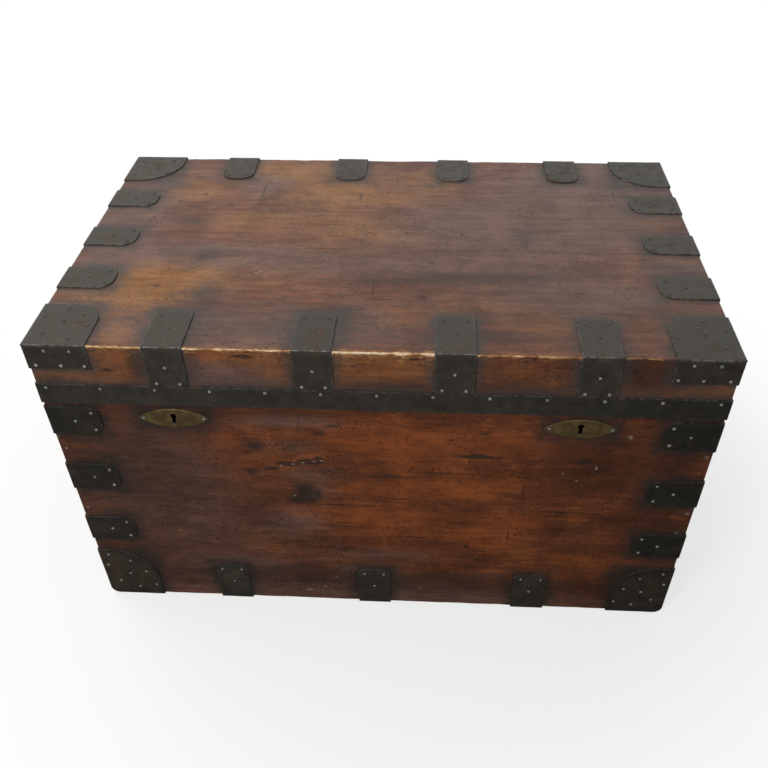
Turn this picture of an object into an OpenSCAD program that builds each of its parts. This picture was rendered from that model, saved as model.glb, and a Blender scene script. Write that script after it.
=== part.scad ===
// Iron-bound wooden travel trunk with a hinged lid, two mortise locks and a drop handle on each end.
// X runs to the right, the front faces -Y and Z points up from the floor that the trunk stands on.

/* [Trunk] */
// Width over the iron, left to right
trunk_w = 880; // [760:1:1000]
// Depth over the iron, front to back
trunk_d = 526; // [460:1:620]
// Height over the iron, floor to lid top
trunk_h = 510; // [460:1:580]
// Radius worn onto the bottom edge of each end
foot_r = 12; // [6:0.5:16]

/* [Boards] */
// Thickness of the wall boards and lid rails
board_t = 22; // [20:0.5:28]
// Thickness of the bottom boards
bottom_t = 20; // [17:0.5:26]
// Thickness of the lid's top boards
lid_top_t = 20; // [14:0.5:26]
// Height of the seam between the lower and upper wall boards
wall_seam_z = 232; // [190:1:250]
// Distance of the lid's seam from the front
lid_seam_y = 237; // [180:1:320]
// Distance of the bottom's seam from the front
bottom_seam_y = 280; // [180:1:320]

/* [Lid] */
// Depth of the lid's wood, from its top to the joint
lid_h = 86; // [80:0.5:110]
// Gap between the closed lid and the walls
lid_gap = 0.3; // [0.2:0.05:0.8]
// Height of the iron band round the lid
band_h = 32; // [28:0.5:36]
// How far the band hangs below the joint
band_drop = 8; // [5:0.5:10]
// Gap between the hanging part of the band and the walls
band_gap = 0.3; // [0.2:0.05:0.8]
// Nails along the front of the band
band_front_nails = 13; // [8:1:16]
// Nails along each end of the band
band_end_nails = 7; // [4:1:9]
// Height of those nails below the band's top
band_nail_drop = 6; // [5:0.5:9]

/* [Straps] */
// Thickness of the iron
iron_t = 2; // [1.5:0.1:2.6]
// Width of a strap
strap_w = 50.8; // [44:0.2:56]
// Places of the lid's front straps, as shares of the width
lid_front_at = [0.2, 0.41, 0.61, 0.81]; // [0.18:0.01:0.82]
// Places of the lid's back straps, as shares of the width
lid_back_at = [0.21, 0.42, 0.61, 0.81]; // [0.18:0.01:0.82]
// Places of the lid's end straps, as shares of the depth
lid_end_at = [0.29, 0.5, 0.72]; // [0.27:0.01:0.73]
// Heights of the straps round the upright edges, as shares of the walls' height
edge_at = [0.385, 0.65, 0.905]; // [0.36:0.005:0.91]
// Places of the bottom straps on the front and back, as shares of the width
foot_front_at = [0.235, 0.487, 0.76]; // [0.2:0.005:0.8]
// Places of the bottom straps on the ends, as shares of the depth
foot_end_at = [0.36, 0.64]; // [0.3:0.01:0.7]
// Reach of the front straps over the lid
front_reach = 76; // [60:1:90]
// Reach of the back straps over the lid
back_reach = 74; // [60:1:90]
// Reach of the end straps over the lid
end_reach = 72; // [60:1:90]
// Reach of the straps round the upright edges
edge_reach = 71; // [60:1:90]
// Height of the bottom straps up the walls
foot_up = 82; // [60:1:100]
// Reach of the bottom straps under the trunk
foot_under = 60; // [50:1:80]
// Corner radius of the front straps' tips
square_tip_r = 6; // [2:0.5:12]
// Corner radius of the other straps' tips
round_tip_r = 20; // [12:0.5:21]
// Corner radius of the bottom straps' tips
foot_tip_r = 14; // [8:0.5:20]

/* [Corner plates] */
// Reach of the front lid corners along the width
front_corner_w = 79; // [76:1:96]
// Reach of the front lid corners along the depth
front_corner_d = 86; // [80:1:96]
// Radius of the front lid corners
front_corner_r = 35; // [20:1:44]
// Reach of the rear lid corners both ways
rear_corner = 84; // [80:1:96]
// Radius of the rear lid corners
rear_corner_r = 66; // [50:1:72]
// How far the lid corners hang down the sides
corner_down = 37; // [34:1:44]
// Reach of the bottom corners along the floor
foot_corner = 85; // [84:1:96]
// Height of the bottom corners
foot_corner_h = 108; // [104:1:120]
// Radius of the bottom corners
foot_corner_r = 66; // [50:1:70]

/* [Hinges] */
// Distance of the hinge pins inside the back face
pin_in = 10; // [8.5:0.25:12]
// Radius of a hinge pin
pin_r = 2.5; // [2:0.1:3]
// Radius of a hinge knuckle
knuckle_r = 5; // [4.5:0.1:5.6]
// Running clearance round a pin
pin_play = 0.05; // [0.02:0.01:0.1]
// Clearance round and between the knuckles
knuckle_play = 0.4; // [0.3:0.05:0.6]
// Slope of the bevels that the open lid leans on
bevel_deg = 49.5; // [46:0.5:52]
// Length of the hinge straps down the back wall
hinge_down = 130; // [100:1:170]
// Height of the rivet head on a hinge pin
pin_head_h = 1.5; // [1:0.1:2]

/* [Locks] */
// Places of the two locks, as shares of the width
lock_at = [0.195, 0.797]; // [0.17:0.001:0.83]
// Height of the keyhole's middle below the joint
lock_drop = 31; // [30:0.5:34]
// Width of a lock case
lock_w = 90; // [84:1:110]
// Height of a lock case
lock_h = 52; // [50:1:60]
// Thickness of a lock case
lock_t = 14; // [13.5:0.5:16]
// Thickness of a lock's front and back plates
lock_wall = 2; // [1.5:0.1:2.2]
// Thickness of a lock's top plate and of the link plate above it
lock_top_t = 2.5; // [2:0.1:3]
// Travel of a lock's bolt
bolt_travel = 9; // [7:0.5:9.5]
// Length of an escutcheon
escutcheon_w = 94; // [80:1:110]
// Height of an escutcheon
escutcheon_h = 32; // [26:1:38]
// Thickness of an escutcheon
escutcheon_t = 1.5; // [1:0.1:2]
// Radius of a keyhole's round part
keyhole_r = 4; // [3.2:0.1:4.5]
// Width of a keyhole's slot
keyhole_slot = 5; // [4.6:0.1:6]
// Height of a keyhole's slot below its middle
keyhole_down = 10; // [8:0.5:11]

/* [Handles] */
// Height of the handle pivots above the floor
handle_z = 300; // [280:1:320]
// Width of a handle's back plate
handle_plate_w = 150; // [146:1:170]
// Height of a handle's back plate
handle_plate_h = 44; // [40:1:56]
// Distance of each ear from the middle of the plate
ear_x = 62; // [58:0.5:64]
// Width of an ear
ear_w = 9; // [6:0.5:11]
// Radius of an ear round its bore
ear_r = 9; // [8:0.5:11]
// Distance of the pivots out from the wall
pivot_out = 13; // [12.5:0.5:18]
// Radius of the handle's rod
rod_r = 4.5; // [4:0.1:5]
// Length of the handle below its pivots
handle_drop = 50; // [46:1:60]
// Radius of the rod's bends
rod_bend_r = 9; // [7:0.5:12]
// Radius of the grip at its middle
grip_r = 7; // [6:0.25:7.5]

/* [Nails] */
// Radius of a nail's head
nail_head_r = 3; // [2.4:0.1:3.6]
// Height of a nail's head
nail_head_h = 1.3; // [0.8:0.1:1.8]
// Radius of a nail's shank
nail_r = 1.5; // [1:0.1:1.8]
// Distance of a strap's paired nails from its middle line
nail_side = 15; // [12:0.5:18]
// Distance of the paired nails from a strap's tip
nail_tip = 11; // [8:0.5:14]
// Distance of the paired nails from the end of a leg that stops at the band
nail_end = 5; // [4:0.5:8]

/* [Hidden] */
$fn = 48;

// How far a cut, or a block inside its own piece, runs past a face
past = 1;

// The lid's wood, and the walls' wood that its band hangs over
lid_w = trunk_w - 2 * iron_t;
front_y = iron_t - trunk_d / 2;
back_y = -front_y;
lid_top_z = trunk_h - iron_t;
rail_top_z = lid_top_z - lid_top_t;
joint_z = lid_top_z - lid_h;
lid_z = joint_z + lid_gap;
body_w = lid_w - 2 * band_gap;
body_front_y = front_y + band_gap;
floor_z = iron_t;
walls_z = floor_z + bottom_t;

// The band, and the straps that run down to it
band_z = joint_z - band_drop;
band_top_z = band_z + band_h;
strap_gap = 0.5;
lid_down = lid_top_z - band_top_z - strap_gap;
hinge_y = back_y - pin_in;
hinge_z = joint_z + lid_gap / 2;
bevel_rise = pin_in * tan(bevel_deg);
back_down = lid_top_z - hinge_z - bevel_rise - iron_t;

// A hinge leaf: where it starts in its knuckle, and where it meets the upright part of the strap
leaf_start = (knuckle_r + pin_r + pin_play) / 2;
leaf_root = bevel_rise + 2 * iron_t / cos(bevel_deg);
knuckle_w = strap_w / 3;
pin_head_step = 1;
pin_head_r = knuckle_r - pin_head_step;
pocket_w = strap_w + 2 * (pin_head_h + knuckle_play);

// A lock, measured from the joint and from the inner face of the front wall
lock_y = body_front_y + board_t;
lock_mid_y = -lock_t / 2;
chamber_end = 7;
chamber_w = lock_w - 2 * chamber_end;
chamber_t = lock_t - 2 * lock_wall;
key_chamber_w = 18;
key_chamber_floor = 4;
key_chamber_z = key_chamber_floor - lock_h;
keyhole_rise = 4;
escutcheon_nail_in = 7;

// The link plate, whose loops hang through the case's top plate
link_t = 4;
link_w = 8;
link_hole_w = 5;
link_at = [-20, 16];
link_play = 0.5;
link_reach = 10.5;
link_drop = lock_top_t + link_reach;
link_plate_w = 72;
link_plate_in = 1;

// The bolt's bar below the loops, and its hooks
bolt_h = 6;
bolt_play = 0.3;
bolt_below_link = 2;
bolt_z = -link_drop - bolt_below_link - bolt_h;
hook_t = 4;
hook_h = 5.6;
hook_riser = 6;
hook_drop = 8.1;
hook_z = -lock_top_t - hook_drop;
talon_w = 6;
talon_h = 3;

// A handle
rod_play = 0.06;
arm_x = ear_x - ear_w / 2 - strap_gap - rod_bend_r;
rod_head_r = rod_r + 2;
rod_head_h = 3;
head_play = 0.3;
grip_steps = 8;
plate_r = 10;
plate_nail_in = [7, 6];

// Where nails stand, from the edge or corner that the iron is bent round
front_corner_nails = [[9, 57], [18, 22], [54, 11], [36, 48], [70, 40], [58, 63], [34, 75]];
rear_corner_nails = [[18, 18], [42, 40], [62, 58], [12, 64], [64, 12]];
corner_side_nails = [[10, 31], [42, 31], [72, 31], [26, 8], [58, 8]];
foot_corner_nails = [[14, 96], [46, 83], [66, 57], [39, 51], [20, 32], [76, 24], [48, 18], [8, 71]];
function pair_nails(leg, from_tip) = [[-nail_side, leg - from_tip], [nail_side, leg - from_tip]];
function strap_nails(leg, from_tip = nail_tip) = concat(pair_nails(leg, from_tip), [[0, leg / 2]]);
function along_w(share) = (share - 0.5) * trunk_w;
function along_d(share) = (share - 0.5) * trunk_d;

// Places

// Extrudes a drawing of Y and Z along X
module along_x(from, to) translate([from, 0, 0]) rotate([90, 0, 90]) linear_extrude(to - from) children();

// Turns what stands on the floor plane so that its Y runs down an upright face and its Z points forwards
module hang() rotate([90, 0, 0]) mirror([0, 1, 0]) children();

// Stands a drawing's work on an upright face that lies this far out: X to the right, Y up, Z outwards
module on_face(turn, out) rotate([0, 0, turn]) translate([0, -out, 0]) rotate([90, 0, 0]) children();

module at_lid_front()
    for (share = lid_front_at) translate([along_w(share), front_y, lid_top_z]) children();

module at_lid_back(shares)
    for (share = shares) translate([along_w(share), back_y, lid_top_z]) rotate([0, 0, 180]) children();

// The lid's right end
module at_lid_end() for (share = lid_end_at)
    translate([lid_w / 2, along_d(share), lid_top_z]) rotate([0, 0, 90]) children();

// The front right upright edge of the walls
module at_front_edge() for (share = edge_at)
    translate([body_w / 2, body_front_y, joint_z * share]) rotate([0, 90, 0]) children();

module at_rear_edge()
    for (share = edge_at) translate([body_w / 2, back_y, joint_z * share])
        mirror([0, 1, 0]) rotate([0, 90, 0]) children();

module at_foot_front() for (share = foot_front_at)
    translate([along_w(share), body_front_y, floor_z]) mirror([0, 0, 1]) children();

module at_foot_rear() for (share = foot_front_at)
    translate([along_w(share), back_y, floor_z]) rotate([180, 0, 0]) children();

// The right end's bottom edge
module at_foot_end()
    for (share = foot_end_at) translate([body_w / 2, along_d(share), floor_z])
        rotate([0, 0, 90]) mirror([0, 0, 1]) children();

module at_hinge(share) translate([along_w(share), hinge_y, hinge_z]) children();

module at_lock(share) translate([along_w(share), lock_y, joint_z]) children();

// What is drawn, and its mirror image from left to right
module both_sides() {
    children();
    mirror([1, 0, 0]) children();
}

// Boards

module block(low, high) translate(low) cube(high - low);

module teak() color("saddlebrown") children();

module wall_front(z0, z1)
    block([-body_w / 2, body_front_y, z0], [body_w / 2, body_front_y + board_t, z1]);

module wall_back(z0, z1) block([-body_w / 2, back_y - board_t, z0], [body_w / 2, back_y, z1]);

module wall_right(z0, z1)
    block([body_w / 2 - board_t, body_front_y + board_t, z0], [body_w / 2, back_y - board_t, z1]);

module front_upper_board() teak() difference() {
    wall_front(wall_seam_z, joint_z);
    for (share = lock_at) at_lock(share) {
        lock_block();
        keyhole(board_t + past);
    }
}

module front_lower_board() teak() wall_front(walls_z, wall_seam_z);

module back_upper_board() teak() difference() {
    wall_back(wall_seam_z, joint_z);
    stop_groove();
    hinge_pockets();
}

module back_lower_board() teak() wall_back(walls_z, wall_seam_z);

module right_upper_board() teak() wall_right(wall_seam_z, joint_z);

module right_lower_board() teak() wall_right(walls_z, wall_seam_z);

// A bottom board, its two ends worn round underneath
module bottom_board(y0, y1) translate([0, y1, floor_z]) rotate([90, 0, 0]) linear_extrude(y1 - y0) {
    translate([-body_w / 2, foot_r]) square([body_w, bottom_t - foot_r]);
    intersection() {
        translate([-body_w / 2, 0]) square([body_w, foot_r]);
        union() {
            translate([foot_r - body_w / 2, 0]) square([body_w - 2 * foot_r, foot_r]);
            for (side = [-1, 1]) translate([side * (body_w / 2 - foot_r), foot_r]) circle(foot_r);
        }
    }
}

module bottom_front_board() teak() bottom_board(body_front_y, front_y + bottom_seam_y);

module bottom_rear_board() teak() bottom_board(front_y + bottom_seam_y, back_y);

module lid_front_rail() teak() difference() {
    block([-lid_w / 2, front_y, lid_z], [lid_w / 2, front_y + board_t, rail_top_z]);
    for (share = lock_at) at_lock(share) link_plate_block();
}

module lid_back_rail() teak() difference() {
    block([-lid_w / 2, back_y - board_t, lid_z], [lid_w / 2, back_y, rail_top_z]);
    stop_groove();
    hinge_pockets();
}

module lid_right_rail()
    teak() block([lid_w / 2 - board_t, front_y + board_t, lid_z], [lid_w / 2, back_y - board_t, rail_top_z]);

module lid_top_front_board()
    teak() block([-lid_w / 2, front_y, rail_top_z], [lid_w / 2, front_y + lid_seam_y, lid_top_z]);

module lid_top_rear_board()
    teak() block([-lid_w / 2, front_y + lid_seam_y, rail_top_z], [lid_w / 2, back_y, lid_top_z]);

// Straps

module iron() color("darkslategray") children();

// One flat leg: it starts at the edge and runs along Y to a tip with round corners
module leg(len, tip_r, spots, w = strap_w) linear_extrude(iron_t) difference() {
    union() {
        translate([-w / 2, 0]) square([w, len - tip_r]);
        if (tip_r > 0) {
            translate([tip_r - w / 2, 0]) square([w - 2 * tip_r, len]);
            for (side = [-1, 1]) translate([side * (w / 2 - tip_r), len - tip_r]) circle(tip_r);
        }
    }
    nail_holes(spots);
}

// The iron outside a square edge, in the plane that the edge pierces
module bend_profile() intersection() {
    circle(iron_t);
    translate([-iron_t, 0]) square(iron_t);
}

// A strap bent over an edge that runs along X: one leg hangs down, the other runs back along Y
module angle_strap(down, down_r, down_spots, over, over_r, over_spots) {
    hang() leg(down, down_r, down_spots);
    leg(over, over_r, over_spots);
    along_x(-strap_w / 2, strap_w / 2) bend_profile();
}

module angle_nails(down_spots, over_spots) {
    hang() nails(down_spots);
    nails(over_spots);
}

module lid_strap(over, tip_r, down = lid_down)
    angle_strap(down, 0, strap_nails(down, nail_end), over, tip_r, strap_nails(over));

module lid_strap_nails(over, down = lid_down)
    angle_nails(strap_nails(down, nail_end), strap_nails(over));

module edge_strap() angle_strap(
    edge_reach, round_tip_r, strap_nails(edge_reach),
    edge_reach, round_tip_r, strap_nails(edge_reach));

module foot_strap() angle_strap(foot_up, foot_tip_r, strap_nails(foot_up), foot_under, foot_tip_r, []);

// A strap round the worn bottom edge of an end, with both legs starting where the round does
module end_foot_strap() {
    hang() translate([0, foot_r, 0]) leg(foot_up - foot_r, foot_tip_r, end_foot_spots);
    translate([0, foot_r, 0]) leg(foot_under - foot_r, foot_tip_r, []);
    along_x(-strap_w / 2, strap_w / 2) worn_bend();
}

end_foot_spots = strap_nails(foot_up - foot_r);

// The iron outside a worn edge
module worn_bend() difference() {
    intersection() {
        translate([foot_r, -foot_r]) circle(foot_r + iron_t);
        translate([-iron_t, -foot_r]) square(foot_r + iron_t);
    }
    translate([foot_r, -foot_r]) circle(foot_r);
}

module lid_front_straps() iron() at_lid_front() lid_strap(front_reach, square_tip_r);

// The two straps between the hinges, which stop above the groove
module lid_back_straps() iron() at_lid_back(plain_back_at) lid_strap(back_reach, round_tip_r, back_down);

plain_back_at = [lid_back_at[1], lid_back_at[2]];
hinge_at = [lid_back_at[0], lid_back_at[3]];

module lid_right_straps() iron() at_lid_end() lid_strap(end_reach, round_tip_r);

module edge_straps_front_right() iron() at_front_edge() edge_strap();

module edge_straps_rear_right() iron() at_rear_edge() edge_strap();

module foot_straps_front() iron() at_foot_front() foot_strap();

module foot_straps_rear() iron() at_foot_rear() foot_strap();

module foot_straps_right() iron() at_foot_end() end_foot_strap();

// The band's front runs round both corners, and its ends stop at the hinge pins
module lid_band_front() iron() {
    on_face(0, -front_y) linear_extrude(iron_t) difference() {
        translate([-lid_w / 2, band_z]) square([lid_w, band_h]);
        nail_holes(band_front_spots);
    }
    both_sides() translate([lid_w / 2, front_y, band_z])
        linear_extrude(band_h) rotate([0, 0, 90]) bend_corner();
}

// A quarter disc that closes the corner between two upright plates
module bend_corner() intersection() {
    circle(iron_t);
    translate([-iron_t, -iron_t]) square(iron_t);
}

module lid_band_right() iron() on_face(90, lid_w / 2) linear_extrude(iron_t) difference() {
    translate([front_y, band_z]) square([hinge_y - front_y, band_h]);
    nail_holes(band_end_spots);
}

band_nail_z = band_top_z - band_nail_drop;
band_margin = 12;
function row(low, high, count) = [for (i = [0:count - 1]) low + (high - low) * i / (count - 1)];
band_front_spots =
    [for (x = row(band_margin - lid_w / 2, lid_w / 2 - band_margin, band_front_nails)) [x, band_nail_z]];
band_end_spots =
    [for (y = row(front_y + 3 * band_margin, hinge_y - band_margin, band_end_nails)) [y, band_nail_z]];

// Corner plates

// A plate in the corner of a face, its free corner round
module corner_outline(a, b, r) {
    square([a, b - r]);
    square([a - r, b]);
    intersection() {
        translate([a - r, b - r]) circle(r);
        square([a, b]);
    }
}

// Turns a plate in X and Y onto the face of X and Z, outwards to -Y
module to_front() rotate([90, 0, 0]) children();

module plate(spots) linear_extrude(iron_t) difference() {
    children();
    nail_holes(spots);
}

// A cap over a lid corner at the origin, with the lid towards +X, +Y and -Z
module lid_corner(a, b, r, top_spots) {
    plate(top_spots) corner_outline(a, b, r);
    hang() plate(corner_side_nails) square([a, corner_down]);
    mirror([1, -1, 0]) hang() plate(corner_side_nails) square([b, corner_down]);
    along_x(0, a) bend_profile();
    mirror([1, -1, 0]) along_x(0, b) bend_profile();
    translate([0, 0, -corner_down]) linear_extrude(corner_down) bend_corner();
    intersection() {
        sphere(iron_t);
        translate([-iron_t, -iron_t, 0]) cube(iron_t);
    }
}

module lid_corner_nails(top_spots) {
    nails(top_spots);
    hang() nails(corner_side_nails);
    mirror([1, -1, 0]) hang() nails(corner_side_nails);
}

module at_lid_corner_front() translate([-lid_w / 2, front_y, lid_top_z]) children();

module at_lid_corner_rear() translate([-lid_w / 2, back_y, lid_top_z]) mirror([0, 1, 0]) children();

module lid_corner_front_left() iron() at_lid_corner_front()
    lid_corner(front_corner_w, front_corner_d, front_corner_r, front_corner_nails);

module lid_corner_rear_left() iron() at_lid_corner_rear()
    lid_corner(rear_corner, rear_corner, rear_corner_r, rear_corner_nails);

// A cap over a bottom corner at the origin, with the trunk towards +X, +Y and +Z
module foot_corner_cap() {
    to_front() plate(foot_corner_nails)
        worn_outline() corner_outline(foot_corner, foot_corner_h, foot_corner_r);
    mirror([1, -1, 0]) to_front() plate(foot_corner_nails) difference() {
        corner_outline(foot_corner, foot_corner_h, foot_corner_r);
        square([foot_corner, foot_r]);
    }
    mirror([0, 0, 1]) linear_extrude(iron_t) difference() {
        corner_outline(foot_corner, foot_corner, foot_corner_r);
        square([foot_r, foot_corner]);
    }
    mirror([1, -1, 0]) mirror([0, 0, 1]) along_x(0, foot_corner) worn_bend();
    translate([0, 0, foot_r]) linear_extrude(foot_corner_h - foot_r) bend_corner();
    mirror([0, 0, 1]) along_x(foot_r, foot_corner) bend_profile();
    translate([foot_r, 0, foot_r]) rotate([90, 0, 0]) rotate([0, 0, 180]) rotate_extrude(angle = 90)
        translate([foot_r, 0]) mirror([1, 0]) bend_profile();
}

// Rounds a front plate's bottom corner as the foot is
module worn_outline() {
    difference() {
        children();
        square(foot_r);
    }
    translate([foot_r, foot_r]) circle(foot_r);
}

module foot_corner_cap_nails() {
    to_front() nails(foot_corner_nails);
    mirror([1, -1, 0]) to_front() nails(foot_corner_nails);
}

module at_foot_corner_front() translate([-body_w / 2, body_front_y, floor_z]) children();

module at_foot_corner_rear() translate([-body_w / 2, back_y, floor_z]) mirror([0, 1, 0]) children();

module foot_corner_front_left() iron() at_foot_corner_front() foot_corner_cap();

module foot_corner_rear_left() iron() at_foot_corner_rear() foot_corner_cap();

// Hinges. Each pin lies inside the back, in a groove whose bevels stop the open lid

module stop_groove() translate([0, hinge_y, hinge_z]) along_x(-trunk_w, trunk_w)
    polygon([[0, 0], [groove_out, groove_out * tan(bevel_deg)], [groove_out, -groove_out * tan(bevel_deg)]]);

groove_out = pin_in + past;

// The lid's leaf in section, with the pin at the origin: along the bevel, then up the back
module leaf_profile() polygon([
    leaf_start * bevel_along,
    [pin_in + iron_t, (pin_in + iron_t) * tan(bevel_deg)],
    [pin_in + iron_t, leaf_root],
    [pin_in, leaf_root],
    [pin_in, bevel_rise + iron_t / cos(bevel_deg)],
    leaf_start * bevel_along + iron_t * bevel_up,
]);

bevel_along = [cos(bevel_deg), sin(bevel_deg)];
bevel_up = [-sin(bevel_deg), cos(bevel_deg)];

module leaf_block() along_x(-strap_w / 2, strap_w / 2) leaf_profile();

// What the hinges take out of the wood
module hinge_pockets() for (share = hinge_at) at_hinge(share) {
    along_x(-pocket_w / 2, pocket_w / 2) circle(knuckle_r + knuckle_play);
    leaf_block();
    mirror([0, 0, 1]) leaf_block();
}

module knuckle(from, to) along_x(from, to) difference() {
    circle(knuckle_r);
    circle(pin_r + pin_play);
}

// The lid's strap: over the top, down the back and along the bevel to its two outer knuckles
module hinge_strap() {
    difference() {
        leaf_block();
        knuckle_notch(-knuckle_w / 2 - knuckle_play, knuckle_w / 2 + knuckle_play);
    }
    knuckle(-strap_w / 2, -knuckle_w / 2 - knuckle_play / 2);
    knuckle(knuckle_w / 2 + knuckle_play / 2, strap_w / 2);
    translate([0, pin_in, lid_top_z - hinge_z]) rotate([0, 0, 180]) angle_strap(
        hinge_strap_down, 0, strap_nails(hinge_strap_down),
        back_reach, round_tip_r, strap_nails(back_reach));
}

hinge_strap_down = lid_top_z - hinge_z - leaf_root;

module knuckle_notch(from, to) along_x(from, to) circle(knuckle_r + knuckle_play);

// The wall's strap: its middle knuckle, the bevel and down the back
module hinge_leaf() {
    mirror([0, 0, 1]) difference() {
        leaf_block();
        knuckle_notch(-strap_w, -knuckle_w / 2 + knuckle_play / 2);
        knuckle_notch(knuckle_w / 2 - knuckle_play / 2, strap_w);
    }
    knuckle(-knuckle_w / 2 + knuckle_play / 2, knuckle_w / 2 - knuckle_play / 2);
    translate([0, pin_in, -leaf_root]) rotate([0, 0, 180])
        hang() leg(hinge_leaf_down, round_tip_r, hinge_leaf_spots);
}

hinge_leaf_down = hinge_down - leaf_root;
leaf_root_nail = 20;
hinge_leaf_spots = concat(strap_nails(hinge_leaf_down), [[0, leaf_root_nail]]);

module hinge_pin() {
    along_x(-strap_w / 2 - pin_head_h, strap_w / 2 + pin_head_h) circle(pin_r);
    for (x = [-strap_w / 2 - pin_head_h, strap_w / 2]) along_x(x, x + pin_head_h) circle(pin_head_r);
}

module hinge_strap_left() iron() at_hinge(hinge_at[0]) hinge_strap();

module hinge_strap_right() iron() at_hinge(hinge_at[1]) hinge_strap();

module hinge_leaf_left() iron() at_hinge(hinge_at[0]) hinge_leaf();

module hinge_leaf_right() iron() at_hinge(hinge_at[1]) hinge_leaf();

module hinge_pin_left() color("dimgray") at_hinge(hinge_at[0]) hinge_pin();

module hinge_pin_right() color("dimgray") at_hinge(hinge_at[1]) hinge_pin();

// Locks, with the joint at Z 0 and the wall's inner face at Y 0

module lock_block() block([-lock_w / 2, -lock_t, -lock_h], [lock_w / 2, 0, 0]);

// A keyhole cut from the wall's inner face outwards
module keyhole(depth)
    translate([0, 0, -lock_drop]) rotate([90, 0, 0]) linear_extrude(depth) keyhole_outline();

module keyhole_outline() {
    translate([0, keyhole_rise]) circle(keyhole_r);
    translate([-keyhole_slot / 2, -keyhole_down]) square([keyhole_slot, keyhole_down + keyhole_rise]);
}

// The case: a chamber for the bolt, one below it for the key, and two slots for the link plate's loops
module lock_case() difference() {
    lock_block();
    lock_space(chamber_w, bolt_z - bolt_play, -lock_top_t);
    lock_space(key_chamber_w, key_chamber_z, bolt_z);
    translate([0, -lock_t / 2, 0]) keyhole(lock_t);
    for (x = link_at) block(
        [x - link_play, lock_mid_y - link_w / 2 - link_play, -lock_top_t - past],
        [x + link_t + link_play, lock_mid_y + link_w / 2 + link_play, past]);
}

module lock_space(w, z0, z1)
    block([-w / 2, lock_mid_y - chamber_t / 2, z0], [w / 2, lock_mid_y + chamber_t / 2, z1]);

// The bolt: a bar with a notch for the key and a hook behind each loop
module lock_bolt() difference() {
    union() {
        block(
            [hook_x(0) - hook_riser, lock_mid_y - chamber_t / 2 + bolt_play, bolt_z],
            [hook_x(1), lock_mid_y + chamber_t / 2 - bolt_play, bolt_z + bolt_h]);
        for (i = [0, 1]) {
            hook_part(hook_x(i) - hook_riser, hook_x(i), bolt_z);
            hook_part(hook_x(i) - past, hook_x(i) + bolt_travel, hook_z);
        }
    }
    block([-talon_w / 2, -lock_t, bolt_z - past], [talon_w / 2, 0, bolt_z + talon_h]);
}

// Where each hook's finger leaves its riser, one travel and a gap short of the loop
function hook_x(i) = link_at[i] - bolt_travel - 2 * link_play;

module hook_part(x0, x1, z0)
    block([x0, lock_mid_y - hook_t / 2, z0], [x1, lock_mid_y + hook_t / 2, hook_z + hook_h]);

// The link plate, let in flush under the lid's front rail, with two loops that the bolt passes through
module link_plate() {
    link_plate_block();
    for (x = link_at) difference() {
        block([x, lock_mid_y - link_w / 2, -link_drop], [x + link_t, lock_mid_y + link_w / 2, lid_gap + past]);
        block(
            [x - past, lock_mid_y - link_hole_w / 2, hook_z - link_play],
            [x + link_t + past, lock_mid_y + link_hole_w / 2, hook_z + hook_h + link_play]);
    }
}

module link_plate_block() block(
    [-link_plate_w / 2, link_plate_in - lock_t, lid_gap],
    [link_plate_w / 2, -link_plate_in, lid_gap + lock_top_t]);

module at_escutcheon(share)
    at_lock(share) translate([0, -board_t, -lock_drop]) rotate([90, 0, 0]) children();

// A pointed oval of brass
module escutcheon() linear_extrude(escutcheon_t) difference() {
    intersection_for (side = [-1, 1])
        translate([0, side * (escutcheon_arc - escutcheon_h / 2)]) circle(escutcheon_arc);
    keyhole_outline();
    nail_holes(escutcheon_spots);
}

escutcheon_arc = (pow(escutcheon_w, 2) + pow(escutcheon_h, 2)) / (4 * escutcheon_h);
escutcheon_spots = [for (side = [-1, 1]) [side * (escutcheon_w / 2 - escutcheon_nail_in), 0]];

module lock_case_left() color("darkgoldenrod") at_lock(lock_at[0]) lock_case();

module lock_case_right() color("darkgoldenrod") at_lock(lock_at[1]) lock_case();

module lock_bolt_left() color("gray") at_lock(lock_at[0]) lock_bolt();

module lock_bolt_right() color("gray") at_lock(lock_at[1]) lock_bolt();

module link_plate_left() color("goldenrod") at_lock(lock_at[0]) link_plate();

module link_plate_right() color("goldenrod") at_lock(lock_at[1]) link_plate();

module escutcheon_left() color("olive") at_escutcheon(lock_at[0]) escutcheon();

module escutcheon_right() color("olive") at_escutcheon(lock_at[1]) escutcheon();

// Handles, drawn on the right end with X along the wall, Y up and Z outwards

module at_handle() on_face(90, body_w / 2) translate([0, handle_z, 0]) children();

module handle_plate() {
    linear_extrude(iron_t) difference() {
        plate_outline(handle_plate_w, handle_plate_h, plate_r);
        nail_holes(plate_spots);
    }
    for (side = [-1, 1]) ear(side * ear_x);
}

plate_spots = concat(
    [for (x = [-1, 1], y = [-1, 1])
        [x * (handle_plate_w / 2 - plate_nail_in.x), y * (handle_plate_h / 2 - plate_nail_in.y)]],
    [for (y = [-1, 1]) [0, y * (handle_plate_h / 2 - plate_nail_in.y)]]);

module plate_outline(w, h, r) {
    square([w - 2 * r, h], center = true);
    square([w, h - 2 * r], center = true);
    for (x = [-1, 1], y = [-1, 1]) translate([x * (w / 2 - r), y * (h / 2 - r)]) circle(r);
}

// An ear, in section across the pivot
module ear(x) along_x(x - ear_w / 2, x + ear_w / 2) difference() {
    union() {
        translate([0, pivot_out]) circle(ear_r);
        translate([-ear_r, 0]) square([2 * ear_r, pivot_out]);
    }
    translate([0, pivot_out]) circle(rod_r + rod_play);
}

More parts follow.
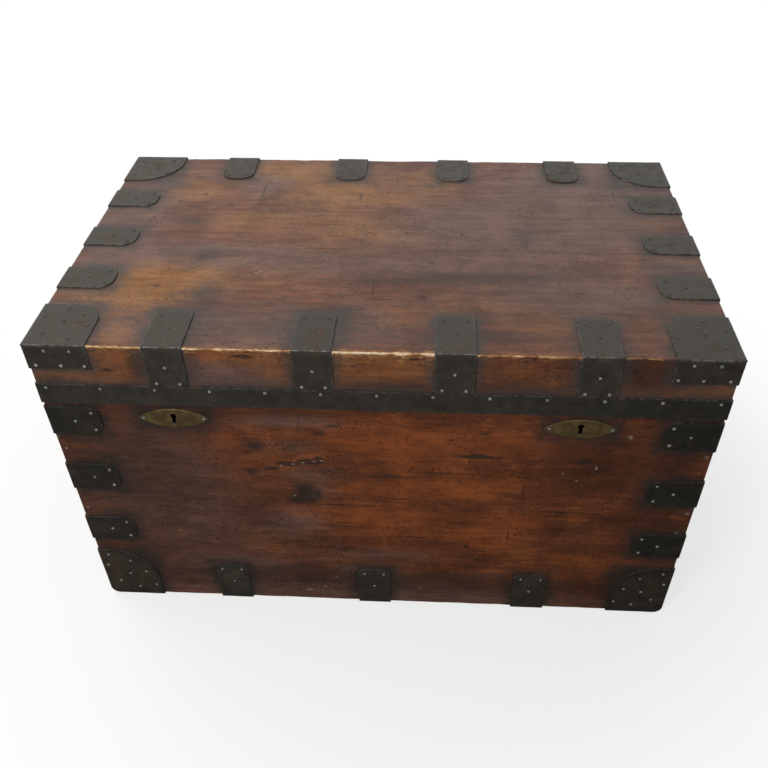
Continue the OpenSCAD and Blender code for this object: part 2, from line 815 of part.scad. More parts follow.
// The handle hangs from its two stubs, which go out through the ears to flattened heads
module handle() translate([0, 0, pivot_out]) {
    both_sides() {
        along_x(arm_x + rod_bend_r, head_x + rod_head_h) circle(rod_r);
        along_x(head_x, head_x + rod_head_h) circle(rod_head_r);
        translate([arm_x + rod_bend_r, -rod_bend_r, 0]) rod_bend(90);
        translate([arm_x, rod_bend_r - handle_drop, 0]) rotate([-90, 0, 0])
            cylinder(r = rod_r, h = handle_drop - 2 * rod_bend_r);
        translate([arm_x - rod_bend_r, rod_bend_r - handle_drop, 0]) rod_bend(270);
    }
    translate([0, -handle_drop, 0]) rotate([0, 90, 0]) rotate_extrude() polygon(concat(
        [[0, -grip_half], [rod_r, -grip_half]],
        [for (i = [1:grip_steps - 1]) grip_point(2 * i / grip_steps - 1)],
        [[rod_r, grip_half], [0, grip_half]]));
}

module rod_bend(from)
    rotate([0, 0, from]) rotate_extrude(angle = 90) translate([rod_bend_r, 0]) circle(rod_r);

head_x = ear_x + ear_w / 2 + head_play;
grip_half = arm_x - rod_bend_r;

// The grip swells from the rod to its middle along a half wave
function grip_point(s) = [rod_r + (grip_r - rod_r) * cos(90 * s), grip_half * s];

module handle_plate_right() iron() at_handle() handle_plate();

module handle_right() iron() at_handle() handle();

// Nails

module nail_holes(spots) for (spot = spots) translate(spot) circle(nail_r + nail_play);

nail_play = 0.05;

// The head above its rim, as shares of its radius and height
head_profile = [[0.8, 0.6], [0.4, 1]];

// A nail through iron of this thickness, with a low faceted head
module nail(t = iron_t) rotate_extrude() polygon(concat(
    [[0, 0], [nail_r, 0], [nail_r, t], [nail_head_r, t]],
    [for (share = head_profile) [share.x * nail_head_r, t + share.y * nail_head_h]],
    [[0, t + nail_head_h]]));

module nails(spots, t = iron_t) for (spot = spots) translate(spot) nail(t);

module lid_nails() color("slategray") {
    at_lid_front() lid_strap_nails(front_reach);
    at_lid_back(plain_back_at) lid_strap_nails(back_reach, back_down);
    at_lid_back(hinge_at) angle_nails(strap_nails(hinge_strap_down), strap_nails(back_reach));
    on_face(0, -front_y) nails(band_front_spots);
    both_sides() {
        at_lid_end() lid_strap_nails(end_reach);
        on_face(90, lid_w / 2) nails(band_end_spots);
        at_lid_corner_front() lid_corner_nails(front_corner_nails);
        at_lid_corner_rear() lid_corner_nails(rear_corner_nails);
    }
}

module body_nails() color("slategray") {
    for (share = hinge_at) at_hinge(share) translate([0, pin_in, -leaf_root]) rotate([0, 0, 180])
        hang() nails(hinge_leaf_spots);
    at_foot_front() hang() nails(strap_nails(foot_up));
    at_foot_rear() hang() nails(strap_nails(foot_up));
    both_sides() {
        at_front_edge() angle_nails(strap_nails(edge_reach), strap_nails(edge_reach));
        at_rear_edge() angle_nails(strap_nails(edge_reach), strap_nails(edge_reach));
        at_foot_end() hang() translate([0, foot_r, 0]) nails(end_foot_spots);
        at_foot_corner_front() foot_corner_cap_nails();
        at_foot_corner_rear() foot_corner_cap_nails();
        at_handle() nails(plate_spots);
    }
}

module escutcheon_nails() color("gold")
    for (share = lock_at) at_escutcheon(share) nails(escutcheon_spots, escutcheon_t);

front_upper_board();
front_lower_board();
back_upper_board();
back_lower_board();
right_upper_board();
right_lower_board();
mirror([1, 0, 0]) right_upper_board();  // left_upper_board
mirror([1, 0, 0]) right_lower_board();  // left_lower_board
bottom_front_board();
bottom_rear_board();
lid_front_rail();
lid_back_rail();
lid_right_rail();
mirror([1, 0, 0]) lid_right_rail();  // lid_left_rail
lid_top_front_board();
lid_top_rear_board();
lid_band_front();
lid_band_right();
mirror([1, 0, 0]) lid_band_right();  // lid_band_left
lid_corner_front_left();
mirror([1, 0, 0]) lid_corner_front_left();  // lid_corner_front_right
lid_corner_rear_left();
mirror([1, 0, 0]) lid_corner_rear_left();  // lid_corner_rear_right
lid_front_straps();
lid_back_straps();
lid_right_straps();
mirror([1, 0, 0]) lid_right_straps();  // lid_left_straps
hinge_strap_left();
hinge_strap_right();
hinge_leaf_left();
hinge_leaf_right();
hinge_pin_left();
hinge_pin_right();
edge_straps_front_right();
mirror([1, 0, 0]) edge_straps_front_right();  // edge_straps_front_left
edge_straps_rear_right();
mirror([1, 0, 0]) edge_straps_rear_right();  // edge_straps_rear_left
foot_corner_front_left();
mirror([1, 0, 0]) foot_corner_front_left();  // foot_corner_front_right
foot_corner_rear_left();
mirror([1, 0, 0]) foot_corner_rear_left();  // foot_corner_rear_right
foot_straps_front();
foot_straps_rear();
foot_straps_right();
mirror([1, 0, 0]) foot_straps_right();  // foot_straps_left
lock_case_left();
lock_case_right();
lock_bolt_left();
lock_bolt_right();
link_plate_left();
link_plate_right();
escutcheon_left();
escutcheon_right();
handle_plate_right();
mirror([1, 0, 0]) handle_plate_right();  // handle_plate_left
handle_right();
mirror([1, 0, 0]) handle_right();  // handle_left
lid_nails();
body_nails();
escutcheon_nails();
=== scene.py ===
import math

import bmesh
import bpy
import numpy as np
from bpy.props import FloatProperty, FloatVectorProperty, PointerProperty
from bpy.types import Operator, Panel, PropertyGroup
from mathutils import Matrix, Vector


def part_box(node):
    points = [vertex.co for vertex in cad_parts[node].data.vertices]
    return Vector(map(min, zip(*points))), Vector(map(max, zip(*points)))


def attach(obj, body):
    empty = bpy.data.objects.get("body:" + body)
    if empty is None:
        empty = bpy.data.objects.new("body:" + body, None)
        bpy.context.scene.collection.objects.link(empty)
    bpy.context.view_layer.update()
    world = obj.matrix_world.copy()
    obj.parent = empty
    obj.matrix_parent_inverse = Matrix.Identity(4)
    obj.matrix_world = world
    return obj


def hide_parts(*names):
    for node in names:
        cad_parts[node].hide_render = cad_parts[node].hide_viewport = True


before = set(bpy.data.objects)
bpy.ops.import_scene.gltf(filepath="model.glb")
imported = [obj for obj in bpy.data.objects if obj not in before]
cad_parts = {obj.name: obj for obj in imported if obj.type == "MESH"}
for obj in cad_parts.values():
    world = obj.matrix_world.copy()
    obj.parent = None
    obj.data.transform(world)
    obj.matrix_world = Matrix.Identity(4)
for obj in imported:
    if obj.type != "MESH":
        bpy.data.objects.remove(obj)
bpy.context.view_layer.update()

bl_info = {
    "name": "Iron-bound travel trunk",
    "version": (1, 0, 0),
    "blender": (4, 5, 0),
    "location": "3D View > Sidebar > Trunk",
    "description": "Finishes the frame of a travel trunk in worn teak, nailed iron and brass",
    "category": "Object",
}

MM = 0.001
X, Y, Z = np.eye(3)


def low(node):
    """The lowest corner of a CAD node."""
    return np.array(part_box(node)[0])


def high(node):
    """The highest corner of a CAD node."""
    return np.array(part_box(node)[1])


# Places that the frame gives
LID_TOP = high("lid_top_front_board")[2]
LID_FRONT = low("lid_top_front_board")[1]
WALL_FRONT = low("front_upper_board")[1]
WALL_BACK = high("back_upper_board")[1]
WALL_HALF_W = high("front_upper_board")[0]
FLOOR = low("bottom_front_board")[2]
IRON_T = high("lid_front_straps")[2] - LID_TOP


# What a user would change

def colour_setting(name, description, default):
    """A colour that a user may change."""
    return FloatVectorProperty(
        name=name, description=description, subtype="COLOR", default=default, min=0, max=1)


def length_setting(name, description, default, **limits):
    """A length that a user may change."""
    return FloatProperty(
        name=name, description=description, subtype="DISTANCE", unit="LENGTH", default=default, **limits)


def angle_setting(name, description, degrees):
    """An angle that a user may change."""
    return FloatProperty(
        name=name, description=description, subtype="ANGLE", unit="ROTATION",
        default=math.radians(degrees))


class TrunkWood(PropertyGroup):
    """The wood's colours and wear."""

    dark: colour_setting("Dark grain", "Colour of the darkest streaks", (0.030, 0.012, 0.007))
    middle: colour_setting("Grain", "Colour of most of the wood", (0.106, 0.032, 0.013))
    light: colour_setting("Light grain", "Colour of the lightest streaks", (0.215, 0.065, 0.020))
    glow: colour_setting("Orange patches", "Colour where the polish has worn thin", (0.268, 0.070, 0.016))
    # Dull wax and dust on the lid, and partly a painted sheen on its top, lighter and greyer where it mirrors
    # the light.
    film_and_sheen: colour_setting("Dull film", "Colour of the old wax and dust on the lid", (0.152, 0.090, 0.070))
    bleached: colour_setting(
        "Golden patches", "Colour of the lid where the polish has worn thin", (0.310, 0.135, 0.032))
    gold: colour_setting(
        "Golden edges", "Worn edges, rubbed to the wood's golden tone", (0.400, 0.200, 0.062))
    # Pale chipped wood, which along the lid's front arris is partly a painted highlight.
    bare: colour_setting("Bare wood", "Colour of the chipped arrises", (0.850, 0.660, 0.450))
    stain: colour_setting("Iron stain", "Colour of the wood round the iron", (0.041, 0.038, 0.036))
    inside: colour_setting("Inside", "Colour of the unpolished wood inside", (0.230, 0.120, 0.065))
    arris: length_setting("Arris", "Rounding of the boards' edges", 0.9 * MM, min=0.2 * MM, max=3 * MM)
    chip: length_setting(
        "Chips", "Depth of the chips along the lid's front edge", 3 * MM, min=0, max=10 * MM)
    planing: length_setting(
        "Planing", "Unevenness of the boards' faces", 0.35 * MM, min=0.05 * MM, max=1 * MM)
    shrink: length_setting(
        "Shrinkage", "Gap that each board's edges have drawn back", 0.15 * MM, min=0.05 * MM, max=1 * MM)


class TrunkIron(PropertyGroup):
    """The iron's and the nails' colours and forging."""

    skin: colour_setting("Iron", "Colour of the blackened iron", (0.036, 0.031, 0.023))
    rust: colour_setting("Rust", "Colour of the rust", (0.062, 0.036, 0.020))
    rubbed: colour_setting("Rubbed iron", "Colour of the rubbed edges", (0.420, 0.410, 0.390))
    nail: colour_setting("Nails", "Colour of the nail heads", (0.800, 0.780, 0.720))
    edge: length_setting("Edge", "Rounding of the iron's cut edges", 0.7 * MM, min=0.1 * MM, max=1.5 * MM)
    dent: length_setting("Dents", "Depth of the hammer marks", 0.25 * MM, min=0, max=0.6 * MM)


class TrunkBrass(PropertyGroup):
    """The brass of the escutcheons and locks."""

    bright: colour_setting("Brass", "Colour of the rubbed brass", (0.190, 0.132, 0.048))
    tarnish: colour_setting("Tarnish", "Colour of the tarnished brass", (0.095, 0.065, 0.026))
    steel: colour_setting("Steel", "Colour of the lock bolts", (0.300, 0.290, 0.270))


class TrunkStage(PropertyGroup):
    """The camera, the lamps and the floor."""

    lens: FloatProperty(
        name="Lens", description="Focal length on a 36 mm sensor", subtype="DISTANCE_CAMERA",
        default=38.94, min=10, max=200)
    across: length_setting("Camera across", "Camera's distance right of the middle", 0.06216)
    away: length_setting("Camera away", "Camera's distance in front of the middle", 1.04712)
    height: length_setting("Camera height", "Camera's height over the floor", 1.12977)
    turn: angle_setting("Turn", "How far the camera looks to the left", 3.839)
    tilt: angle_setting("Tilt", "How far the camera looks down", 40.43)
    roll: angle_setting("Roll", "How far the camera leans", 1.072)
    sky: FloatProperty(
        name="Sky", description="Strength of the even light from all round", default=0.40, min=0, max=3)
    window: FloatProperty(
        name="Window", description="Strength of the broad lamp behind and to the left", subtype="POWER",
        unit="POWER", default=30, min=0, max=500)
    front: FloatProperty(
        name="Front", description="Strength of the broad lamp in front", subtype="POWER", unit="POWER",
        default=15, min=0, max=500)
    floor: colour_setting("Floor", "Colour of the floor", (0.80, 0.80, 0.79))
    mirrored: colour_setting("Mirrored floor", "Colour of the floor in reflections", (0.06, 0.06, 0.06))


def settings(name):
    """One of the trunk's groups of settings."""
    return getattr(bpy.context.scene, "trunk_" + name)


# Numbers in a row, and noise

def graded(length, step, fine=(0.25 * MM, 0.7 * MM, 1.5 * MM, 3 * MM)):
    """Distances from 0 to the length: the fine ones at both ends, and even steps between them."""
    ends = np.array([0.0] + [distance for distance in fine if distance < length / 3])
    count = max(1, round((length - 2 * ends[-1]) / step))
    middle = np.linspace(ends[-1], length - ends[-1], count + 1)
    return np.concatenate([ends[:-1], middle, length - ends[-2::-1]]) if len(ends) > 1 else middle


def rounding(distance, radius):
    """How far a quarter circle of this radius has drawn back at this distance from where it starts."""
    short = np.clip(radius - distance, 0, radius)
    return radius - np.sqrt(radius ** 2 - short ** 2)


def waves(u, v, seed, length, octaves=3):
    """Smooth noise from about -1 to 1: sine waves in drawn directions, each octave half as long and high."""
    draw = np.random.default_rng(seed)
    total = np.zeros(np.broadcast(u, v).shape)
    share = 0.35
    for _ in range(octaves):
        for turn, phase in draw.uniform(0, 2 * math.pi, (4, 2)):
            total += share * np.sin(2 * math.pi / length * (u * math.cos(turn) + v * math.sin(turn)) + phase)
        length, share = length / 2, share / 2
    return total


def swell(value, start, end):
    """Rises from 0 at start to 1 at end along 3t^2 - 2t^3."""
    share = np.clip((value - start) / (end - start), 0, 1)
    return share ** 2 * (3 - 2 * share)


# Grids of points made into closed meshes

class Shape:
    """The points, faces and painted values of one piece, gathered from its parts."""

    def __init__(self):
        self.points, self.quads, self.values, self.count = [], [], {}, 0

    def add(self, points, quads, **values):
        """Adds a part: its points, its faces, and a number for each point under each name."""
        points = points.reshape(-1, 3)
        self.points.append(points)
        self.quads.append(quads + self.count)
        for name, value in values.items():
            self.values.setdefault(name, []).append(np.broadcast_to(value, len(points)))
        self.count += len(points)


def grid_quads(rows, columns, closed=False):
    """The faces of a grid of points, row by row. A closed grid joins its last column to its first."""
    row = np.arange(rows - 1)[:, None] * columns
    column = np.arange(columns if closed else columns - 1)[None, :]
    after = (column + 1) % columns
    corners = [row + column, row + after, row + after + columns, row + column + columns]
    return np.stack(np.broadcast_arrays(*corners), axis=-1).reshape(-1, 4)


def shell(outer, inner):
    """A closed plate: an outer and an inner grid of points, with a wall round their rims."""
    rows, columns = outer.shape[:2]
    size = rows * columns
    index = np.arange(size).reshape(rows, columns)
    rim = np.concatenate([index[0, :-1], index[:-1, -1], index[-1, :0:-1], index[:0:-1, 0]])
    after = np.roll(rim, -1)
    wall = np.stack([rim, rim + size, after + size, after], axis=-1)
    quads = grid_quads(rows, columns)
    return np.concatenate([outer, inner]), np.concatenate([quads, quads[:, ::-1] + size, wall])


def loft(rings):
    """A closed solid: rings of points joined one to the next, with both end rings drawn to their middles."""
    first = np.broadcast_to(rings[0].mean(axis=0), rings[0].shape)
    last = np.broadcast_to(rings[-1].mean(axis=0), rings[-1].shape)
    rings = np.concatenate([first[None], rings, last[None]])
    return rings, grid_quads(rings.shape[0], rings.shape[1], closed=True)


def fill_mesh(mesh, points, quads):
    """Puts points and four-cornered faces into an empty mesh."""
    mesh.vertices.add(len(points))
    mesh.vertices.foreach_set("co", points.astype(np.float32).ravel())
    mesh.loops.add(quads.size)
    mesh.loops.foreach_set("vertex_index", quads.astype(np.int32).ravel())
    mesh.polygons.add(len(quads))
    mesh.polygons.foreach_set("loop_start", np.arange(0, quads.size, 4, dtype=np.int32))
    mesh.update(calc_edges=True)


def clean(mesh):
    """Joins points that lie together, removes faces without area and turns all faces outwards."""
    work = bmesh.new()
    work.from_mesh(mesh)
    bmesh.ops.remove_doubles(work, verts=work.verts, dist=0.002 * MM)
    bmesh.ops.dissolve_degenerate(work, edges=work.edges, dist=0.001 * MM)
    bmesh.ops.recalc_face_normals(work, faces=work.faces)
    work.to_mesh(mesh)
    work.free()


SHARP_ANGLE = math.radians(40)


def make(shape, name, material, body, nodes):
    """Makes a piece from its shape, rides it on its body and stands it for its CAD nodes."""
    mesh = bpy.data.meshes.new(name)
    fill_mesh(mesh, np.concatenate(shape.points), np.concatenate(shape.quads))
    for key, values in shape.values.items():
        layer = mesh.attributes.new(key, "FLOAT", "POINT")
        layer.data.foreach_set("value", np.concatenate(values).astype(np.float32))
    clean(mesh)
    mesh.polygons.foreach_set("use_smooth", np.ones(len(mesh.polygons), bool))
    mesh.set_sharp_from_angle(angle=SHARP_ANGLE)
    mesh.materials.append(material)
    piece = bpy.data.objects.new(name, mesh)
    bpy.context.scene.collection.objects.link(piece)
    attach(piece, body)
    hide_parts(*nodes)
    return piece


def dress(material, *nodes):
    """Gives CAD nodes a material."""
    for node in nodes:
        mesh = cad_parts[node].data
        mesh.materials.clear()
        mesh.materials.append(material)


def solids(node):
    """The boxes of a CAD node's separate solids, as arrays of lowest and highest corners.

    Points at one place count as one. Each triangle gives its points the least of their labels, over and over,
    until every solid has one label.
    """
    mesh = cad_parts[node].data
    points = np.empty(len(mesh.vertices) * 3, np.float32)
    mesh.vertices.foreach_get("co", points)
    points = points.reshape(-1, 3)
    same = np.unique(np.round(points / (0.01 * MM)), axis=0, return_inverse=True)[1].ravel()
    mesh.calc_loop_triangles()
    corners = np.empty(len(mesh.loop_triangles) * 3, np.int32)
    mesh.loop_triangles.foreach_get("vertices", corners)
    corners = same[corners].reshape(-1, 3)
    label = np.arange(same.max() + 1)
    while True:
        least = label[corners].min(axis=1)
        spread = label.copy()
        for side in range(3):
            np.minimum.at(spread, corners[:, side], least)
        spread = spread[spread]
        if (spread == label).all():
            break
        label = spread
    group = np.unique(label[same], return_inverse=True)[1]
    lowest = np.full((group.max() + 1, 3), np.inf)
    highest = -lowest
    np.minimum.at(lowest, group, points)
    np.maximum.at(highest, group, points)
    order = np.lexsort(np.round(lowest, 3).T)
    return lowest[order], highest[order]


# Nodes of a material

class Nodes:
    """Adds nodes to a tree. Each method but node and feed gives the socket that holds its result."""

    def __init__(self, tree):
        self.tree = tree

    def node(self, kind, inputs, **choices):
        """A node with its choices made and its inputs linked or set."""
        node = self.tree.nodes.new(kind)
        for choice, value in choices.items():
            setattr(node, choice, value)
        for socket, value in inputs.items():
            self.feed(node.inputs[socket], value)
        return node

    def feed(self, socket, value):
        """Links a socket to another's result, or sets it to a value."""
        if isinstance(value, bpy.types.NodeSocket):
            self.tree.links.new(value, socket)
        elif socket.type == "RGBA" and len(value) == 3:
            socket.default_value = (*value, 1)
        else:
            socket.default_value = value

    def math(self, operation, a, b=0.0, c=0.0):
        """A math node's result."""
        return self.node("ShaderNodeMath", {0: a, 1: b, 2: c}, operation=operation).outputs[0]

    def vector(self, operation, a, b=(0, 0, 0)):
        """A vector math node's result, which is a number for LENGTH."""
        node = self.node("ShaderNodeVectorMath", {0: a, 1: b}, operation=operation)
        return node.outputs["Value"] if operation == "LENGTH" else node.outputs["Vector"]

    def noise(self, vector, scale=1.0, detail=3.0, roughness=0.55, distortion=0.0):
        """Noise from about 0 to 1, whose unit is one step of its coordinates over the scale."""
        inputs = {"Vector": vector, "Scale": scale, "Detail": detail, "Roughness": roughness,
                  "Distortion": distortion}
        return self.node("ShaderNodeTexNoise", inputs).outputs[0]

    def span(self, value, start, end, to_start=0.0, to_end=1.0):
        """Maps a value from one span to another, smoothly and without going past its ends."""
        inputs = {"Value": value, "From Min": start, "From Max": end, "To Min": to_start, "To Max": to_end}
        return self.node("ShaderNodeMapRange", inputs, interpolation_type="SMOOTHSTEP").outputs[0]

    def mix(self, share, a, b):
        """Mixes two colours."""
        node = self.node("ShaderNodeMix", {}, data_type="RGBA")
        for socket, value in zip([node.inputs[0], node.inputs[6], node.inputs[7]], [share, a, b]):
            self.feed(socket, value)
        return node.outputs[2]

    def spot(self, source, centre, size, soft):
        """1 inside an ellipsoid of this centre and these half lengths, fading out over its soft share."""
        scale = tuple(1 / length for length in size)
        shift = tuple(-middle / length for middle, length in zip(centre, size))
        inputs = {"Vector": source, "Location": shift, "Scale": scale}
        inside = self.node("ShaderNodeMapping", inputs).outputs[0]
        return self.span(self.vector("LENGTH", inside), 1.0, 1.0 - soft)

    def bump(self, height, distance, strength=1.0, normal=None):
        """A normal bumped by a height over a distance, on top of another normal."""
        inputs = {"Height": height, "Distance": distance, "Strength": strength}
        if normal:
            inputs["Normal"] = normal
        return self.node("ShaderNodeBump", inputs).outputs[0]


class Finish(Nodes):
    """A material in the making.

    place is the point itself, for marks. grain is the point moved by shift, so that each material's noise
    differs.
    """

    def __init__(self, name, shift=(0, 0, 0)):
        self.material = bpy.data.materials.new(name)
        self.material.use_nodes = True
        super().__init__(self.material.node_tree)
        self.shader = self.tree.nodes["Principled BSDF"]
        self.place = self.tree.nodes.new("ShaderNodeTexCoord").outputs["Object"]
        self.grain = self.vector("ADD", self.place, shift)

    def stretch(self, lengths, source=None):
        """Coordinates in which a pattern's unit is this long along X, Y and Z."""
        scale = tuple(1 / length for length in lengths)
        inputs = {"Vector": source or self.grain, "Scale": scale}
        return self.node("ShaderNodeMapping", inputs).outputs[0]

    def cloudy(self, size, **choices):
        """Round noise, whose unit is this size."""
        return self.noise(self.grain, scale=1 / size, **choices)

    def warped(self, amount, size, source=None):
        """Coordinates shaken by noise, so that what is drawn on them has ragged borders."""
        shake = self.node("ShaderNodeTexNoise", {"Vector": self.place, "Scale": 1 / size, "Detail": 3.0})
        centred = self.vector("SUBTRACT", shake.outputs["Color"], (0.5, 0.5, 0.5))
        moved = self.vector("MULTIPLY", centred, (amount, amount, amount))
        return self.vector("ADD", source or self.place, moved)

    def painted(self, name):
        """A value painted on the mesh, or 0 where it has none."""
        return self.node("ShaderNodeAttribute", {}, attribute_name=name).outputs["Fac"]

    def done(self, colour, roughness, normal, specular=0.5, metallic=0.0):
        """Feeds the shader and gives the material."""
        self.feed(self.shader.inputs["Base Color"], colour)
        self.feed(self.shader.inputs["Roughness"], roughness)
        self.feed(self.shader.inputs["Normal"], normal)
        self.feed(self.shader.inputs["Metallic"], metallic)
        self.shader.inputs["Specular IOR Level"].default_value = specular
        return self.material


def toned(colour, factor):
    """A colour made darker or lighter by a factor."""
    return tuple(factor * part for part in colour)


# Wood

def grained(finish, axis, along, across, source=None, **choices):
    """Noise whose unit is long along the grain's axis and short across it."""
    lengths = [across] * 3
    lengths[axis] = along
    return finish.noise(finish.stretch(lengths, source), **choices)


def inside_mask(finish):
    """1 on what lies deeper than the walls' and the lid's outer faces, where the wood isn't polished."""
    depth = 12 * MM
    centre = (0, 0, (FLOOR + LID_TOP) / 2)
    half = (WALL_HALF_W - depth, WALL_BACK - depth, (LID_TOP - FLOOR) / 2 - depth)
    offset = finish.vector("ABSOLUTE", finish.vector("SUBTRACT", finish.place, centre))
    beyond = finish.node("ShaderNodeSeparateXYZ", {0: finish.vector("SUBTRACT", offset, half)}).outputs
    deepest = finish.math("MAXIMUM", finish.math("MAXIMUM", beyond[0], beyond[1]), beyond[2])
    return finish.span(deepest, 1 * MM, -1 * MM)


def front_mask(finish):
    """1 on the lid's front face and 0 on its top."""
    sides = finish.node("ShaderNodeSeparateXYZ", {0: finish.place}).outputs
    from_front = finish.math("SUBTRACT", sides[1], LID_FRONT)
    from_top = finish.math("SUBTRACT", LID_TOP, sides[2])
    return finish.span(finish.math("SUBTRACT", from_front, from_top), 0.5 * MM, -0.5 * MM)


def wood_shade(finish, axis, tone, bands, lines):
    """How light the grain is: bands and lines along it, with clouds and grit, each by its share."""
    clouds = finish.cloudy(60 * MM, detail=6, roughness=0.62, distortion=0.7)
    grit = grained(finish, axis, 4 * MM, 2.2 * MM, roughness=0.6)
    shade = finish.math("MULTIPLY_ADD", bands, 0.34, finish.math("MULTIPLY", clouds, 0.42))
    shade = finish.math("MULTIPLY_ADD", lines, 0.24, shade)
    return finish.math("MULTIPLY_ADD", grit, 0.24, finish.math("ADD", shade, tone - 0.12))


def wood_patches(finish, colour, shade, ragged, lid):
    """Mixes in the painted patches with torn borders: orange, or golden on the lid, then dull, then dark."""
    wood = settings("wood")
    glow = wood.glow
    if lid:
        on_face = finish.math("MULTIPLY", front_mask(finish), 0.55)
        glow = finish.mix(on_face, wood.bleached, wood.glow)
    # The dull patches are wax and dust, and partly painted sheen on the lid's top; some dark patches are
    # painted shade.
    for value, tint, share in (("glow", glow, 0.75), ("film_and_sheen", wood.film_and_sheen, 0.8), ("dark", wood.dark, 0.7)):
        torn = finish.math("MULTIPLY_ADD", ragged, 0.9, finish.painted(value))
        patch = finish.math("MULTIPLY", finish.span(torn, 0.5, 1.3), share)
        tint_in_grain = finish.mix(finish.span(shade, 0.40, 0.60, 0.45, 0.0), tint, wood.dark)
        colour = finish.mix(patch, colour, tint_in_grain)
    return colour


def wood_pits(finish, axis):
    """1 in the small dark pits, which come in crowds."""
    crowd = finish.cloudy(45 * MM, detail=2)
    specks = grained(finish, axis, 5 * MM, 2.6 * MM, detail=2)
    return finish.math("MULTIPLY", finish.span(specks, 0.57, 0.66), finish.span(crowd, 0.44, 0.60, 0, 0.8))


def unpolished(finish, colour, axis):
    """Gives the inside its plain sawn wood, in long straight streaks."""
    wood = settings("wood")
    nearly_straight = finish.warped(5 * MM, 190 * MM, finish.grain)
    sawn = grained(finish, axis, 260 * MM, 5 * MM, nearly_straight, detail=5, roughness=0.62)
    plain = finish.mix(finish.span(sawn, 0.34, 0.66), toned(wood.inside, 0.55), toned(wood.inside, 1.1))
    return finish.mix(finish.math("MULTIPLY", inside_mask(finish), 0.85), colour, plain)


def worn_edges(finish, colour, axis, lines):
    """Rubs the painted edges golden and chips them pale in flakes, partly as a painted highlight.

    Gives the colour and the chips' mask.
    """
    wood = settings("wood")
    flakes = grained(finish, axis, 7 * MM, 2.2 * MM, detail=4, roughness=0.7)
    worn = finish.math("MULTIPLY_ADD", flakes, 1.1, finish.painted("bare"))
    golden = finish.mix(lines, toned(wood.gold, 0.45), toned(wood.gold, 1.5))
    colour = finish.mix(finish.span(worn, 0.74, 1.04, 0, 0.85), colour, golden)
    # The pale chips along the arris are partly a painted highlight.
    chipped = finish.span(worn, 1.06, 1.20)
    raw_and_highlight = finish.mix(lines, toned(wood.bare, 0.6), wood.bare)
    return finish.mix(chipped, colour, raw_and_highlight), chipped


def teak(name, axis, shift, paint=None, tone=0.0, roughness=0.42, specular=0.5, lid=False):
    """Old polished teak with its grain along an axis.

    The grain is shaded from dark to light. Over it come the painted patches, pits, one face's small marks by
    paint, pores, the stain round the iron, the unpolished inside and the worn edges. shift moves the noise.
    """
    wood = settings("wood")
    finish = Finish(name, (shift, 0.7 * shift, 0.4 * shift))
    swirled = finish.warped(10 * MM, 70 * MM, finish.grain)
    bands = grained(finish, axis, 80 * MM, 10 * MM, swirled, detail=5)
    lines = grained(finish, axis, 34 * MM, 1.4 * MM, swirled)
    pores = grained(finish, axis, 9 * MM, 0.8 * MM, detail=1)
    ragged = grained(finish, axis, 26 * MM, 11 * MM, detail=5, roughness=0.65)
    shade = wood_shade(finish, axis, tone, bands, lines)
    pits = wood_pits(finish, axis)
    colour = finish.mix(finish.span(shade, 0.33, 0.49), wood.dark, wood.middle)
    colour = finish.mix(finish.span(shade, 0.49, 0.64), colour, wood.light)
    colour = wood_patches(finish, colour, shade, ragged, lid)
    colour = finish.mix(pits, colour, wood.dark)
    if paint:
        colour = paint(finish, colour)
    colour = finish.mix(finish.span(pores, 0.58, 0.72, 0, 0.4), colour, wood.dark)
    stain = finish.math("MULTIPLY", finish.painted("stain"), finish.span(ragged, 0.3, 0.6, 0.55, 1.0))
    soot = wood.stain if lid else toned(wood.stain, 0.5)
    colour = finish.mix(finish.math("MULTIPLY", stain, 0.85), colour, soot)
    colour = unpolished(finish, colour, axis)
    colour, chipped = worn_edges(finish, colour, axis, lines)
    dull = finish.span(shade, 0.40, 0.62, roughness + 0.08, roughness - 0.04)
    dull = finish.math("MULTIPLY_ADD", stain, 0.10, dull)
    dull = finish.math("MULTIPLY_ADD", chipped, 0.20, dull)
    holes = finish.math("MAXIMUM", pits, finish.span(pores, 0.56, 0.72))
    fine = finish.bump(holes, 0.4 * MM, -0.4, finish.bump(lines, 0.25 * MM, 0.35))
    return finish.done(colour, dull, fine, specular)


def marks(finish, colour, source, tint, share, spots):
    """Mixes a tint into a colour wherever one of the spots is, each a centre, half lengths and softness."""
    mask = 0.0
    for centre, size, soft in spots:
        mask = finish.math("MAXIMUM", finish.spot(source, centre, size, soft), mask)
    return finish.mix(finish.math("MULTIPLY", mask, share), colour, tint)


def on_top(x, y, half_x, half_y, soft=0.7):
    """A mark on the lid's top, in millimetres from its middle."""
    return (x * MM, y * MM, LID_TOP), (half_x * MM, half_y * MM, 6 * MM), soft


def on_front(x, z, half_x, half_z, soft=0.7):
    """A mark on the front, in millimetres from its middle and from the floor."""
    return (x * MM, WALL_FRONT, z * MM), (half_x * MM, 6 * MM, half_z * MM), soft


